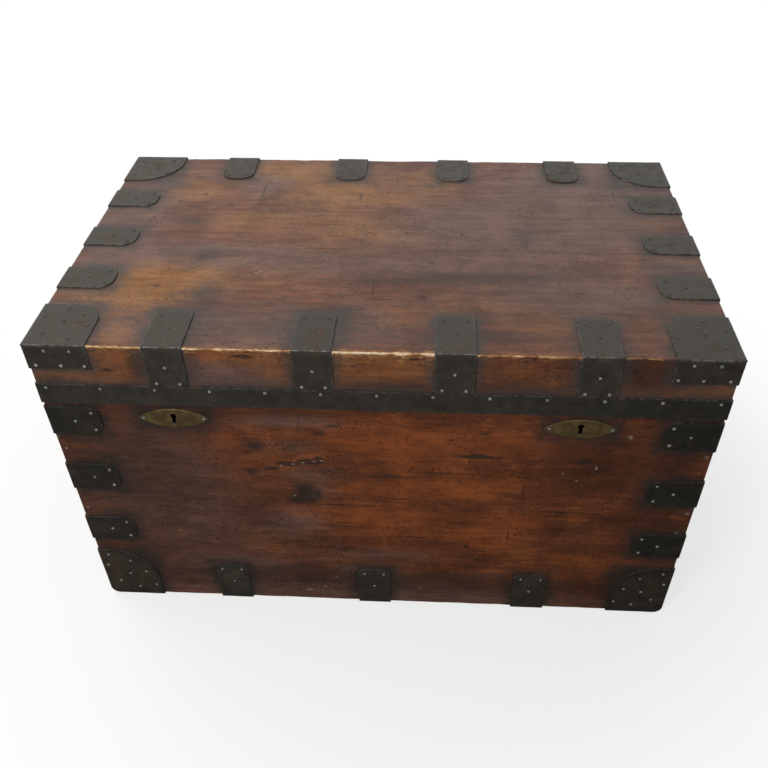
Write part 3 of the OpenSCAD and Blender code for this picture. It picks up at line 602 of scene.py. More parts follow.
def paint_lid(finish, colour):
    """The lid's knocks, cut lines and cracks, and the gouge at the front's right end."""
    wood = settings("wood")
    ragged = finish.warped(4 * MM, 8 * MM)
    colour = marks(finish, colour, ragged, wood.dark, 0.75, [
        on_top(-203, 150, 2.4, 36), on_top(-214, 117, 18, 2.2), on_top(-48, 132, 2.2, 18),
        on_top(8, 182, 1.6, 18), on_top(12, 80, 1.3, 18), on_top(-12, -126, 2.6, 22),
        on_top(-295, 135, 6, 6), on_top(-330, 112, 6, 5), on_top(-305, -126, 7, 5),
        on_top(108, 22, 2.5, 7), on_top(238, -27, 6, 3), on_top(75, 182, 5, 9), on_top(55, -142, 11, 6),
        on_top(322, 132, 26, 2.4), on_top(346, 150, 2.4, 24), on_top(314, 143, 22, 1.4),
        on_top(310, -172, 45, 1.6), on_top(200, 0, 1.6, 28), on_top(0, -148, 32, 2.4)])
    colour = marks(finish, colour, ragged, wood.dark, 0.85, [
        on_front(313, 487, 7, 8), on_front(304, 494, 7, 3), on_front(322, 476, 5, 3),
        on_front(-165, 497, 22, 4), on_front(40, 499, 26, 3), on_front(-340, 470, 12, 5)])
    rasped = finish.noise(finish.stretch((1.2 * MM, 30 * MM, 22 * MM)), detail=2)
    rasped = finish.math("MULTIPLY", front_mask(finish), finish.span(rasped, 0.48, 0.68, 0, 0.12))
    colour = finish.mix(rasped, colour, wood.dark)
    long_line = finish.warped(30 * MM, 260 * MM)
    return marks(finish, colour, long_line, wood.dark, 0.6, [
        on_top(120, -66, 75, 0.9, 0.9), on_top(60, -100, 110, 1.2, 0.9), on_top(200, 205, 60, 1.0, 0.9)])


def paint_front(finish, colour):
    """The front wall's torn scar, smears, knot, crack and pale knocks, and the dark behind the keyholes."""
    wood = settings("wood")
    unlit, charred, pale = (0.002, 0.002, 0.002), (0.018, 0.017, 0.016), (0.24, 0.20, 0.16)
    ragged = finish.warped(9 * MM, 13 * MM)
    holes = [(tuple(keyhole_middle(side)), (7 * MM, 40 * MM, 16 * MM), 0.3) for side in ("left", "right")]
    colour = marks(finish, colour, finish.place, unlit, 1.0, holes)
    colour = marks(finish, colour, ragged, charred, 0.75, [
        on_front(-165, 344, 19, 17, 0.9), on_front(-178, 293, 15, 9, 0.9), on_front(-148, 301, 18, 5),
        on_front(-126, 310, 20, 7, 0.5), on_front(-94, 315, 24, 8, 0.5), on_front(-82, 322, 10, 6, 0.6),
        on_front(-104, 256, 24, 26, 0.8), on_front(-108, 238, 36, 9, 0.7), on_front(-88, 250, 10, 20, 0.8),
        on_front(135, 334, 46, 5), on_front(135, 335, 24, 7), on_front(276, 331, 16, 12, 0.9),
        on_front(25, 290, 55, 2.5), on_front(45, 163, 38, 2), on_front(128, 145, 5, 5),
        on_front(30, 246, 24, 2), on_front(-60, 383, 16, 4), on_front(140, 378, 12, 5, 0.9),
        on_front(-80, 370, 14, 10, 0.9)])
    colour = marks(finish, colour, finish.warped(3 * MM, 9 * MM), wood.dark, 0.8, [
        on_front(200, 266, 1.6, 28), on_front(290, 228, 110, 1.3), on_front(-60, 229, 110, 1.2),
        on_front(186, 172, 1.2, 30), on_front(-20, 359, 14, 1.4), on_front(90, 300, 80, 1.0)])
    chips = finish.warped(3 * MM, 3 * MM)
    return marks(finish, colour, chips, pale, 0.8, [
        on_front(327, 378, 4, 5), on_front(292, 319, 2.2, 5), on_front(269, 294, 2.5, 2),
        on_front(249, 307, 2.5, 2), on_front(-135, 306, 2.5, 2.5), on_front(-118, 310, 4, 1.6),
        on_front(-104, 313, 5, 1.6), on_front(-88, 316, 4, 1.6), on_front(-78, 318, 3, 1.8),
        on_front(-120, 246, 2.5, 2), on_front(-115, 24, 8, 3), on_front(-90, 34, 5, 1.5),
        on_front(-300, 160, 3, 1.5), on_front(-70, 60, 4, 1.5), on_front(60, 40, 3, 2),
        on_front(431, 346, 4, 4), on_front(430, 234, 5, 4), on_front(424, 192, 5, 4),
        on_front(-434, 352, 3, 3), on_front(-430, 328, 3, 3), on_front(-430, 206, 3, 3)])


# Broad patches of each painted value. Each has its middle across and up the face, its half lengths, all in
# millimetres, and its strength
LID_TOP_PATCHES = {
    "glow": [
        (-295, -112, 66, 46, 1.6), (-350, -105, 40, 30, 0.7), (-400, -155, 50, 26, 0.7),
        (-320, -170, 50, 30, 0.6), (-315, 150, 50, 30, 1.0), (-190, 215, 70, 36, 1.2),
        (-90, 165, 50, 50, 1.0), (-20, 125, 80, 26, 0.7), (55, 180, 60, 34, 0.9), (-215, 55, 60, 34, 0.6),
        (-60, 65, 90, 26, 0.5), (-90, -25, 40, 16, 0.5), (-160, -100, 60, 40, 0.4), (-20, 20, 110, 30, 0.6),
        (130, -160, 90, 30, 0.3), (225, -200, 50, 26, 0.4), (390, 55, 30, 30, 0.5), (390, -42, 34, 12, 0.5),
        (370, -190, 60, 26, 0.5), (-330, -230, 30, 26, 0.7), (-175, -215, 40, 30, 0.4),
        (0, -190, 60, 26, 0.4), (-150, 120, 30, 25, 0.8), (-400, -190, 30, 24, 0.6),
    ],
    # Dull patches on the top: wax and dust, and partly painted sheen where the top mirrors the light.
    "film_and_sheen": [
        (-400, 60, 60, 160, 0.6), (-240, -45, 100, 26, 0.8), (240, 60, 120, 90, 0.9),
        (330, 180, 110, 60, 0.9), (120, 40, 120, 60, 0.5), (250, -130, 90, 34, 0.9),
        (-205, 170, 30, 30, 0.8), (330, 225, 80, 26, 0.8), (-170, -215, 150, 36, 0.7),
        (400, -62, 36, 12, 0.9), (0, -60, 200, 40, 0.4), (-30, -185, 30, 25, 0.5), (-380, -85, 30, 20, 0.6),
    ],
    "dark": [
        (-226, -160, 18, 26, 0.5), (210, -135, 90, 20, 0.4), (110, 30, 60, 40, 0.3),
        (-255, -50, 30, 14, 0.7), (120, -110, 110, 20, 0.3), (-300, 45, 20, 12, 0.6),
        (-310, 188, 30, 12, 0.6), (130, -92, 150, 14, 0.7), (300, -80, 70, 14, 0.3), (195, 5, 16, 30, 0.5),
        (-10, -110, 80, 16, 0.4), (-60, -175, 50, 20, 0.4), (-60, -205, 380, 45, 0.3),
        (50, 165, 30, 20, 0.4), (150, -225, 50, 20, 0.5),
    ],
    "stain": [
        (-232, -138, 30, 22, 1.0), (-265, -35, 50, 14, 0.6), (-290, 45, 24, 14, 0.6),
        (120, -85, 120, 14, 0.4), (-345, 160, 30, 12, 0.4), (60, 175, 20, 12, 0.4), (400, -60, 30, 10, 0.5),
        (-46, -195, 10, 46, 0.6), (-395, -80, 25, 18, 0.4), (165, -180, 50, 14, 0.4),
        (200, 20, 26, 30, 0.4), (215, -60, 26, 16, 0.35), (-130, -205, 16, 30, 0.35),
        (-270, -180, 30, 16, 0.3), (-215, -190, 26, 22, 0.5), (-175, -225, 60, 20, 0.4),
        (10, -228, 70, 22, 0.5), (-120, -165, 30, 14, 0.3), (-300, -205, 40, 20, 0.4),
        (180, -225, 70, 22, 0.2), (330, -150, 60, 30, 0.3), (60, -150, 40, 12, 0.3),
    ],
}
LID_FRONT_PATCHES = {
    "glow": [
        (-380, 470, 60, 30, 1.1), (-320, 490, 30, 20, 0.8), (-160, 494, 66, 14, 0.9),
        (-130, 465, 30, 16, 0.7), (-20, 480, 50, 30, 0.9), (50, 485, 30, 24, 0.9), (180, 480, 60, 26, 0.45),
        (330, 455, 40, 12, 0.5), (420, 460, 40, 20, 0.5),
    ],
    "film_and_sheen": [
        (-200, 465, 60, 20, 0.8), (-170, 455, 40, 10, 0.5),
    ],
    "dark": [
        # (330, 485) and (170, 470) are painted shade where the light falls off to the right.
        (-300, 480, 16, 30, 0.8), (20, 455, 60, 8, 0.6), (330, 485, 60, 30, 1.1), (170, 470, 90, 30, 0.45),
        (230, 500, 60, 14, 0.3), (-410, 450, 40, 8, 0.6),
    ],
}
WALL_PATCHES = {
    "glow": [
        (-205, 352, 24, 26, 0.8), (-140, 350, 30, 30, 0.6), (-40, 372, 70, 32, 0.9), (50, 345, 70, 40, 0.8),
        (190, 365, 80, 30, 0.7), (20, 270, 110, 24, 0.8), (170, 290, 70, 26, 0.6), (-110, 215, 60, 14, 0.7),
        (20, 205, 100, 26, 0.8), (160, 172, 36, 34, 1.2), (205, 205, 30, 16, 0.6), (120, 255, 50, 20, 0.6),
        (40, 165, 110, 14, 0.6), (330, 118, 60, 18, 0.6), (300, 390, 60, 20, 0.3), (-180, 310, 70, 14, 0.5),
        (260, 215, 60, 20, 0.3), (240, 80, 60, 20, 0.5), (-330, 82, 30, 10, 0.4), (400, 110, 50, 10, 0.5),
        (-230, 75, 50, 18, 0.3), (270, 120, 30, 18, 0.5), (220, 78, 30, 16, 0.5),
    ],
    "film_and_sheen": [
        (-320, 300, 110, 110, 0.65), (-290, 170, 150, 110, 0.55), (60, 50, 250, 36, 0.6),
        (-200, 60, 180, 40, 0.55), (0, 12, 440, 20, 0.7), (-110, 390, 80, 16, 0.7),
        (-120, 345, 50, 18, 0.5), (-240, 75, 60, 22, 0.7), (-90, 290, 50, 20, 0.5), (-90, 255, 30, 20, 0.5),
        (-30, 55, 40, 26, 0.5), (-120, 185, 50, 40, 0.5), (0, 120, 100, 18, 0.5),
    ],
    "dark": [
        (-350, 320, 110, 80, 0.6), (-300, 230, 130, 70, 0.45), (-340, 125, 120, 70, 0.5),
        # (-120, 405) is a painted shadow under the lid's band.
        (-190, 210, 60, 50, 0.2), (-120, 405, 300, 12, 0.45), (0, 55, 440, 32, 0.7),
        # (395, 250) and (370, 60), with (300, 320), (330, 210) and (230, 310) below, are painted shade where
        # the light falls off to the right.
        (-110, 75, 24, 20, 0.4), (395, 250, 50, 190, 0.55), (370, 60, 60, 50, 0.6), (90, 80, 30, 20, 0.4),
        (-120, 345, 40, 18, 0.4), (150, 300, 30, 14, 0.4), (150, 215, 20, 12, 0.4),
        (-110, 255, 30, 26, 0.5), (-20, 125, 80, 14, 0.2), (300, 320, 60, 60, 0.5), (330, 210, 50, 20, 0.5),
        (-20, 290, 80, 14, 0.4), (60, 165, 60, 8, 0.1), (-120, 75, 50, 18, 0.5), (230, 310, 100, 60, 0.35),
    ],
    "stain": [
        (270, 30, 50, 18, 0.4), (90, 30, 40, 14, 0.3), (-330, 30, 30, 14, 0.3),
    ],
}


def patch_values(across, along, patches, share=1.0):
    """The painted values: for each patch, its strength times exp(-(a / half a)^2 - (b / half b)^2)."""
    values = {"glow": 0.0, "film_and_sheen": 0.0, "dark": 0.0, "stain": 0.0}
    for value, spots in patches.items():
        for a, b, half_a, half_b, strength in spots:
            fall = ((across / MM - a) / half_a) ** 2 + ((along / MM - b) / half_b) ** 2
            values[value] = values[value] + share * strength * np.exp(-fall)
    return values


def lid_paint(points):
    """The lid's patches: the top's where a point lies nearer to the top, and the front's elsewhere."""
    x, y, z = points.T
    on_face = swell((LID_TOP - z) - (y - LID_FRONT), -0.6 * MM, 0.6 * MM)
    top = patch_values(x, y, LID_TOP_PATCHES, 1 - on_face)
    front = patch_values(x, z, LID_FRONT_PATCHES, on_face)
    # A base of dull wax and dust that is partly painted sheen: more on the top than on the front face, and
    # less under strong golden patches.
    base = {"glow": 0.10, "film_and_sheen": 0.35 - 0.15 * on_face - 0.30 * swell(top["glow"], 0.8, 1.6)}
    return {value: np.clip(base.get(value, 0) + top[value] + front[value], 0, 1.1) for value in top}


def wall_paint(points):
    """The front wall's patches, by each point's place across and up the wall."""
    x, y, z = points.T
    values = patch_values(x, z, WALL_PATCHES)
    return {value: np.clip(painted, 0, 1.1) for value, painted in values.items()}


def plain_paint(seed):
    """Patches drawn by noise, for the faces that the photograph doesn't show."""
    def paint(points):
        """The painted values at these points."""
        around = points[:, 0] + 1.7 * points[:, 1]
        glow = 0.20 + 0.35 * waves(around, points[:, 2], seed, 420 * MM)
        dark = 0.25 + 0.35 * waves(around, points[:, 2], seed + 1, 520 * MM)
        foot = 0.8 * swell(points[:, 2], 80 * MM, 10 * MM)
        return {"glow": np.clip(glow, 0, 1), "film_and_sheen": 0.0, "dark": np.clip(dark + foot, 0, 1)}
    return paint


def iron_stain(points, nodes, reach=13 * MM):
    """How dark the iron has stained each point: exp(-(d / reach)^1.5) at distance d from the nearest iron."""
    nearest = np.full(len(points), np.inf)
    for node in nodes:
        for lowest, highest in zip(*solids(node)):
            gap = np.maximum(np.maximum(lowest - points, points - highest), 0)
            nearest = np.minimum(nearest, (gap ** 2).sum(axis=1))
    return np.exp(-(np.sqrt(nearest) / reach) ** 1.5)


LID_IRON = ["lid_band_front", "lid_band_left", "lid_band_right", "lid_corner_front_left",
            "lid_corner_front_right", "lid_corner_rear_left", "lid_corner_rear_right", "lid_front_straps",
            "lid_back_straps", "lid_left_straps", "lid_right_straps", "hinge_strap_left",
            "hinge_strap_right"]
WALL_IRON = ["edge_straps_front_left", "edge_straps_front_right", "edge_straps_rear_left",
             "edge_straps_rear_right", "foot_corner_front_left", "foot_corner_front_right",
             "foot_corner_rear_left", "foot_corner_rear_right", "foot_straps_front", "foot_straps_rear",
             "foot_straps_left", "foot_straps_right", "hinge_leaf_left", "hinge_leaf_right",
             "handle_plate_left", "handle_plate_right", "escutcheon_left", "escutcheon_right"]


# The corners of a board's section in order: their side across the width and through the thickness
SECTION_CORNERS = [(-1, -1), (1, -1), (1, 1), (-1, 1)]
ARC_POINTS = 7


def board_section(sides, half_w, half_t, radii, step):
    """Rings of points round a board, one at each station, with a quarter circle at each corner."""
    wide, thick = [], []
    for corner, (sign_w, sign_t) in enumerate(SECTION_CORNERS):
        radius = radii[corner][:, None]
        angle = math.radians(180 + 90 * corner) + np.linspace(0, math.pi / 2, ARC_POINTS)
        wide.append(sign_w * (half_w[:, None] - radius) + radius * np.cos(angle))
        thick.append(sign_t * (half_t[:, None] - radius) + radius * np.sin(angle))
    ring_w, ring_t = [], []
    for corner in range(4):
        side = sides[corner % 2]
        share = (graded(side, step) / side)[1:-1]
        after = (corner + 1) % 4
        ring_w += [wide[corner], wide[corner][:, -1:] * (1 - share) + wide[after][:, :1] * share]
        ring_t += [thick[corner], thick[corner][:, -1:] * (1 - share) + thick[after][:, :1] * share]
    return np.concatenate(ring_w, axis=1), np.concatenate(ring_t, axis=1)


def bareness(sides, ring_w, ring_t, from_end, chipped, ends, seed):
    """How worn the wood is: by ends at the board's ends, and by the chips near each corner of its section.

    Round a chip it fades sooner across the width than through the thickness. The thin pale line along an
    arris is partly a painted highlight.
    """
    ragged = 0.6 + 0.4 * waves(ring_w, 0, seed, 60 * MM)
    bare = ends * np.exp(-from_end / (2 * MM))[:, None] * ragged
    for share, (sign_w, sign_t) in zip(chipped, SECTION_CORNERS):
        gap_w, gap_t = sign_w * sides[0] / 2 - ring_w, sign_t * sides[1] / 2 - ring_t
        gap = np.hypot(1.5 * gap_w, 0.8 * gap_t)
        # The narrow part of near paints a thin pale line along the arris: chipped wood, and partly a painted
        # highlight.
        near = 0.75 * np.exp(-(gap / (2 * MM)) ** 2) + 0.66 * share[:, None] * np.exp(-gap / (12 * MM))
        bare = np.maximum(bare, np.clip(share[:, None] * near, 0, 1.1))
    return bare


def board(node, order, seed, iron, paint, worn=None, ends=0.0, sharp=None, step=6 * MM):
    """A board in its CAD node's box, its length, width and thickness along the axes in order.

    Its section is a rectangle with a quarter circle at each corner, carried along the length. The section
    draws in at both ends by a quarter circle, and its thickness varies by noise. worn gives, for a corner of
    the section, what share of it is chipped along the length: it widens the circle, bares the wood and paints
    a highlight along the arris. ends is that share at both ends. sharp is a corner with a third of the
    rounding.
    """
    wood = settings("wood")
    lowest, highest = low(node), high(node)
    middle, size = (lowest + highest) / 2, highest - lowest
    sides = size[order[1]], size[order[2]]
    run = graded(size[order[0]], step)
    along = lowest[order[0]] + run
    from_end = np.minimum(run, run[-1] - run)
    inset = rounding(from_end, wood.arris)
    half_w = sides[0] / 2 - wood.shrink - inset
    half_t = sides[1] / 2 - inset
    chipped = [(worn or {}).get(corner, no_wear)(along) for corner in range(4)]
    arrises = [wood.arris / 3 if corner == sharp else wood.arris for corner in range(4)]
    radii = [np.minimum(arris + wood.chip * share ** 2, half_t) for arris, share in zip(arrises, chipped)]
    ring_w, ring_t = board_section(sides, half_w, half_t, radii, step)
    bare = bareness(sides, ring_w, ring_t, from_end, chipped, ends, seed + 9)
    uneven = wood.planing * (0.5 + 0.4 * waves(along[:, None], ring_w, seed, 160 * MM))
    ring_t = ring_t * (1 - np.clip(uneven, 0.05 * MM, None) / (sides[1] / 2))
    rings = np.empty((*ring_w.shape, 3))
    rings[..., order[0]] = along[:, None]
    rings[..., order[1]] = middle[order[1]] + ring_w
    rings[..., order[2]] = middle[order[2]] + ring_t
    inner_ring = 2.5 * MM
    drawn_in = middle + (rings - middle) * (1 - 2 * np.minimum(inner_ring / size, 0.4))
    drawn_in[..., order[0]] = rings[..., order[0]]
    rings, quads = loft(np.concatenate([drawn_in[:1], rings, drawn_in[-1:]]))
    bare = np.pad(bare, ((2, 2), (0, 0)))
    points = rings.reshape(-1, 3)
    values = paint(points)
    stain = np.clip(iron_stain(points, iron) + values.pop("stain", 0), 0, 1)
    shape = Shape()
    shape.add(points, quads, bare=bare.ravel(), stain=stain, **values)
    return shape


def no_wear(along):
    """An edge that isn't chipped."""
    return 0.0 * along


def front_wear(along):
    """How chipped the lid's front arris is along the width, which also sets its painted highlight: most in
    the middle, least at the right end.
    """
    middle = 0.20 * swell(along, -100 * MM, -55 * MM) - 0.30 * swell(along, 75 * MM, 120 * MM)
    busy = 0.72 + middle - 0.20 * swell(along, 250 * MM, 300 * MM)
    return busy * np.clip(0.88 + 0.3 * waves(along, 0, 11, 30 * MM, 4), 0.4, 1)


def foot_wear(along):
    """How worn the bottom's front arris is along the width."""
    return np.clip(0.35 + 0.25 * waves(along, 0, 13, 50 * MM, 4), 0.1, 0.6)


def light_wear(along):
    """A slight wear that comes and goes along an edge."""
    return np.clip(0.45 + 0.5 * waves(along, 0, 12, 70 * MM, 3), 0, 0.8)


def seam_wear(along):
    """The lid's seam, open on its right part and closed elsewhere."""
    return 0.18 * swell(along, 100 * MM, 180 * MM)


def cut(piece, shape):
    """Cuts a closed shape out of a piece and writes the result into its mesh."""
    mesh = bpy.data.meshes.new("cutter")
    fill_mesh(mesh, np.concatenate(shape.points), np.concatenate(shape.quads))
    clean(mesh)
    cutter = bpy.data.objects.new("cutter", mesh)
    bpy.context.scene.collection.objects.link(cutter)
    modifier = piece.modifiers.new("cut", "BOOLEAN")
    modifier.object, modifier.operation, modifier.solver = cutter, "DIFFERENCE", "EXACT"
    evaluated = piece.evaluated_get(bpy.context.evaluated_depsgraph_get())
    result = bpy.data.meshes.new_from_object(evaluated)
    piece.modifiers.clear()
    piece.data = result
    bpy.data.objects.remove(cutter)


def block_shape(lowest, highest):
    """A plain block, as a loft of its two ends."""
    corners = np.array([(0, 0), (1, 0), (1, 1), (0, 1)], float)
    rings = np.empty((2, 4, 3))
    rings[0, :, 0], rings[1, :, 0] = lowest[0], highest[0]
    rings[..., 1:] = lowest[1:] + corners * (highest - lowest)[1:]
    shape = Shape()
    shape.add(*loft(rings))
    return shape


def ray_circle(angle, centre, radius):
    """How far a ray from the origin at each angle goes before it leaves a circle."""
    ahead = np.cos(angle) * centre[0] + np.sin(angle) * centre[1]
    return ahead + np.sqrt(np.maximum(ahead ** 2 - centre[0] ** 2 - centre[1] ** 2 + radius ** 2, 0))


def ray_box(angle, half_w, up, down):
    """How far a ray from the origin at each angle goes before it leaves a box."""
    cosine, sine = np.cos(angle), np.sin(angle)
    across = half_w / np.maximum(np.abs(cosine), 1e-9)
    upright = np.where(sine > 0, up, down) / np.maximum(np.abs(sine), 1e-9)
    return np.minimum(across, upright)


KEYHOLE_R, KEYHOLE_SLOT, KEYHOLE_RISE, KEYHOLE_DOWN = 4 * MM, 5 * MM, 2 * MM, 12 * MM


def keyhole_reach(angle):
    """A keyhole round its waist: the further of the ways to its round part and to its slot."""
    round_part = ray_circle(angle, (0, KEYHOLE_RISE), KEYHOLE_R)
    return np.maximum(round_part, ray_box(angle, KEYHOLE_SLOT / 2, KEYHOLE_RISE, KEYHOLE_DOWN))


def keyhole_middle(side):
    """The waist of a lock's keyhole, 2 mm above the middle of its escutcheon."""
    middle = (low("escutcheon_" + side) + high("escutcheon_" + side)) / 2
    return middle + np.array([0, 0, 2 * MM])


def keyhole_shape(side):
    """A prism with a keyhole's outline, right through the wall."""
    angle = np.linspace(0, 2 * math.pi, 49)[:-1]
    reach = keyhole_reach(angle)
    middle = keyhole_middle(side)
    rings = np.empty((2, len(angle), 3))
    rings[..., 0] = middle[0] + reach * np.cos(angle)
    rings[..., 2] = middle[2] + reach * np.sin(angle)
    rings[:, :, 1] = np.array([middle[1] - 20 * MM, middle[1] + 60 * MM])[:, None]
    shape = Shape()
    shape.add(*loft(rings))
    return shape


# Iron

def unit(vector):
    """A vector's direction, with length 1."""
    return vector / np.linalg.norm(vector)


def bent_path(corners, outs, bend=0.0, step=4 * MM):
    """Stations along straight stretches and the bends between them.

    At a bend the outward direction turns evenly from one stretch's to the next's, round a circle of the
    bend's radius that touches both.
    """
    bases, turned = [], []
    last = len(outs) - 1
    for index, out in enumerate(outs):
        start, end = corners[index], corners[index + 1]
        along = unit(end - start)
        start = start + along * bend * (index > 0)
        end = end - along * bend * (index < last)
        length = (end - start) @ along
        run = graded(length, step) if length > 0.01 * MM else np.zeros(1)
        bases.append(start + run[:, None] * along)
        turned.append(np.broadcast_to(out, (len(run), 3)))
        if index < last:
            after = outs[index + 1]
            angle = math.acos(out @ after)
            share = np.linspace(0, 1, 7)[1:-1, None]
            direction = (np.sin((1 - share) * angle) * out + np.sin(share * angle) * after) / math.sin(angle)
            centre = corners[index + 1] - bend * (out + after) / (1 + out @ after)
            bases.append(centre + bend * direction)
            turned.append(direction)
    return np.concatenate(bases), np.concatenate(turned)


def run_along(bases, outs):
    """Each station's distance from the first, along the middle of the iron's thickness."""
    steps = np.linalg.norm(np.diff(bases + outs * IRON_T / 2, axis=0), axis=1)
    return np.concatenate([[0.0], np.cumsum(steps)])


def sheet(shape, bases, outs, across, near, far, seed, hems=(1, 1, 1, 1), step=5 * MM):
    """Adds a sheet of iron: stations along its length, and its two sides' distances across at each station.

    The outer face stands the iron's thickness off the wood, less a quarter circle at the rim and shallow
    noise for hammer marks. hems multiply that circle's radius at the first and last station and on the near
    and far side.
    """
    iron = settings("iron")
    run = run_along(bases, outs)
    width = (far - near).max()
    share = graded(width, step) / width
    side = near[:, None] + share * (far - near)[:, None]
    flat = np.stack([np.broadcast_to(run[:, None], side.shape), side], axis=-1)
    rims = [flat[0], flat[-1], flat[:, 0], flat[:, -1]]
    radii = np.concatenate([np.full(len(rim), hem * iron.edge) for rim, hem in zip(rims, hems)])
    distance = np.linalg.norm(flat[:, :, None] - np.concatenate(rims), axis=-1)
    drop = rounding(distance, radii).max(axis=-1)
    dents = iron.dent * np.clip(0.4 + 0.5 * waves(flat[..., 0], flat[..., 1], seed, 55 * MM), 0, 1)
    height = np.clip(IRON_T - drop - dents, 0.1 * IRON_T, None)
    inner = bases[:, None] + across * side[..., None]
    outer = inner + outs[:, None] * height[..., None]
    rubbed = np.exp(-distance.min(axis=-1) / (0.9 * MM))
    folded = np.clip(5 * (1 - np.abs(outs).max(axis=1)), 0, 1.6)[:, None]
    points, quads = shell(outer.reshape(len(run), -1, 3), inner)
    rubbed = np.maximum(rubbed, folded).ravel()
    rim = np.exp(-(distance.min(axis=-1) / (11 * MM)) ** 2).ravel()
    shape.add(points, quads, rubbed=np.tile(rubbed, 2), rim=np.tile(rim, 2))


def strap(shape, lowest, highest, leg_a, leg_b, tips, seed, bend=0.0):
    """Adds a strap bent over an edge in its CAD solid's box, its two legs along these directions.

    Its half width draws in by a quarter circle of the tip's radius at each end.
    """
    size = highest - lowest
    fold = np.abs(np.cross(leg_a, leg_b))
    edge = (lowest + highest) / 2
    reach = []
    for leg in (leg_a, leg_b):
        axis = int(np.abs(leg).argmax())
        edge[axis] = lowest[axis] + IRON_T if leg[axis] > 0 else highest[axis] - IRON_T
        reach.append(size[axis] - IRON_T)
    corners = [edge + leg_a * reach[0], edge, edge + leg_b * reach[1]]
    bases, outs = bent_path(corners, [-leg_b, -leg_a], bend)
    run = run_along(bases, outs)
    half = size @ fold / 2 - rounding(run, tips[0]) - rounding(run[-1] - run, tips[1])
    near, far = (cut_edge(run, seed + side) for side in (500, 600))
    sheet(shape, bases, outs, fold, near - half, half - far, seed)


def cut_edge(run, seed):
    """How far an edge cut by hand strays inwards along its run."""
    return 0.35 * MM * np.clip(0.5 + 0.6 * waves(run, 0, seed, 70 * MM, 2), 0, 1.2)


STRAP_TIPS = {"square": 5 * MM, "round": 20 * MM, "foot": 14 * MM, "band": 0.8 * MM}
STRAPS = [
    # Piece, CAD node, body, the two legs' directions, their tips, worn edge
    ("lid_front_iron", "lid_front_straps", "lid", -Z, Y, "band", "square", False),
    ("lid_back_iron", "lid_back_straps", "lid", -Z, -Y, "band", "round", False),
    ("lid_left_iron", "lid_left_straps", "lid", -Z, X, "band", "round", False),
    ("lid_right_iron", "lid_right_straps", "lid", -Z, -X, "band", "round", False),
    ("edge_front_left_iron", "edge_straps_front_left", "trunk", X, Y, "round", "round", False),
    ("edge_front_right_iron", "edge_straps_front_right", "trunk", -X, Y, "round", "round", False),
    ("edge_rear_left_iron", "edge_straps_rear_left", "trunk", X, -Y, "round", "round", False),
    ("edge_rear_right_iron", "edge_straps_rear_right", "trunk", -X, -Y, "round", "round", False),
    ("foot_front_iron", "foot_straps_front", "trunk", Z, Y, "foot", "foot", False),
    ("foot_rear_iron", "foot_straps_rear", "trunk", Z, -Y, "foot", "foot", False),
    ("foot_left_iron", "foot_straps_left", "trunk", Z, X, "foot", "foot", True),
    ("foot_right_iron", "foot_straps_right", "trunk", Z, -X, "foot", "foot", True),
]
FOOT_R = 12 * MM


def cap_corner(node, x_way, y_way, up):
    """The wood's corner under a cap, and the cap's reach along three directions."""
    lowest, highest = low(node), high(node)
    corner = np.where(x_way + y_way + up > 0, lowest + IRON_T, highest - IRON_T)
    size = highest - lowest - IRON_T
    return corner, size


def lid_cap(node, x_way, y_way, tip, seed):
    """A cap on a lid corner: a sheet bent round the upright edge, under a leaf with one round corner."""
    corner, (reach_x, reach_y, hang) = cap_corner(node, x_way, y_way, -Z)
    shape = Shape()
    corners = [corner + x_way * reach_x, corner, corner + y_way * reach_y]
    bases, outs = bent_path(corners, [-y_way, -x_way])
    none = np.zeros(len(bases))
    sheet(shape, bases, outs, -Z, none, none + hang, seed, hems=(1, 1, 0.05, 1))
    bases, outs = bent_path([corner - x_way * IRON_T, corner + x_way * reach_x], [Z])
    from_edge = run_along(bases, outs)
    far = reach_y - rounding(from_edge[-1] - from_edge, tip)
    near = np.full(len(bases), -IRON_T)
    sheet(shape, bases, outs, y_way, near, far, seed + 1, hems=(2.6, 1, 2.6, 1))
    return shape


def foot_cap(node, x_way, y_way, tip, seed):
    """A cap on a bottom corner: a sheet bent round the upright edge, a leaf rolled round the worn foot."""
    corner, (reach_x, reach_y, height) = cap_corner(node, x_way, y_way, Z)
    shape = Shape()
    corners = [corner + x_way * reach_x, corner, corner + y_way * reach_y]
    bases, outs = bent_path(corners, [-y_way, -x_way])
    from_edge = np.abs((bases - corner) @ (x_way + y_way))
    on_end = np.abs((bases - corner) @ y_way) > 0
    far = height - rounding(np.where(on_end, reach_y, reach_x) - from_edge, tip)
    near = np.where(on_end, FOOT_R, rounding(from_edge, FOOT_R))
    sheet(shape, bases, outs, Z, near, far, seed, hems=(1, 1, 0.2, 1))
    bases, outs = bent_path([corner + Z * FOOT_R, corner, corner + x_way * reach_x], [-x_way, -Z], FOOT_R)
    from_tip = reach_x - (bases - corner) @ x_way
    far = reach_y - rounding(from_tip, tip)
    near = np.full(len(bases), -IRON_T)
    sheet(shape, bases, outs, y_way, near, far, seed + 1, hems=(0.2, 1, 2.6, 1))
    return shape


def band_shape():
    """The band: one sheet along the lid's left end, front and right end, bent at both corners."""
    lowest, highest = low("lid_band_front"), high("lid_band_front")
    left, front = lowest[0] + IRON_T, lowest[1] + IRON_T
    back = high("lid_band_left")[1]
    corners = [np.array(point) for point in [
        (left, back, 0), (left, front, 0), (-left, front, 0), (-left, back, 0)]]
    bases, outs = bent_path(corners, [-X, -Y, X])
    near = np.full(len(bases), lowest[2])
    far = np.full(len(bases), highest[2])
    shape = Shape()
    sheet(shape, bases, outs, Z, near, far, 71)
    return shape


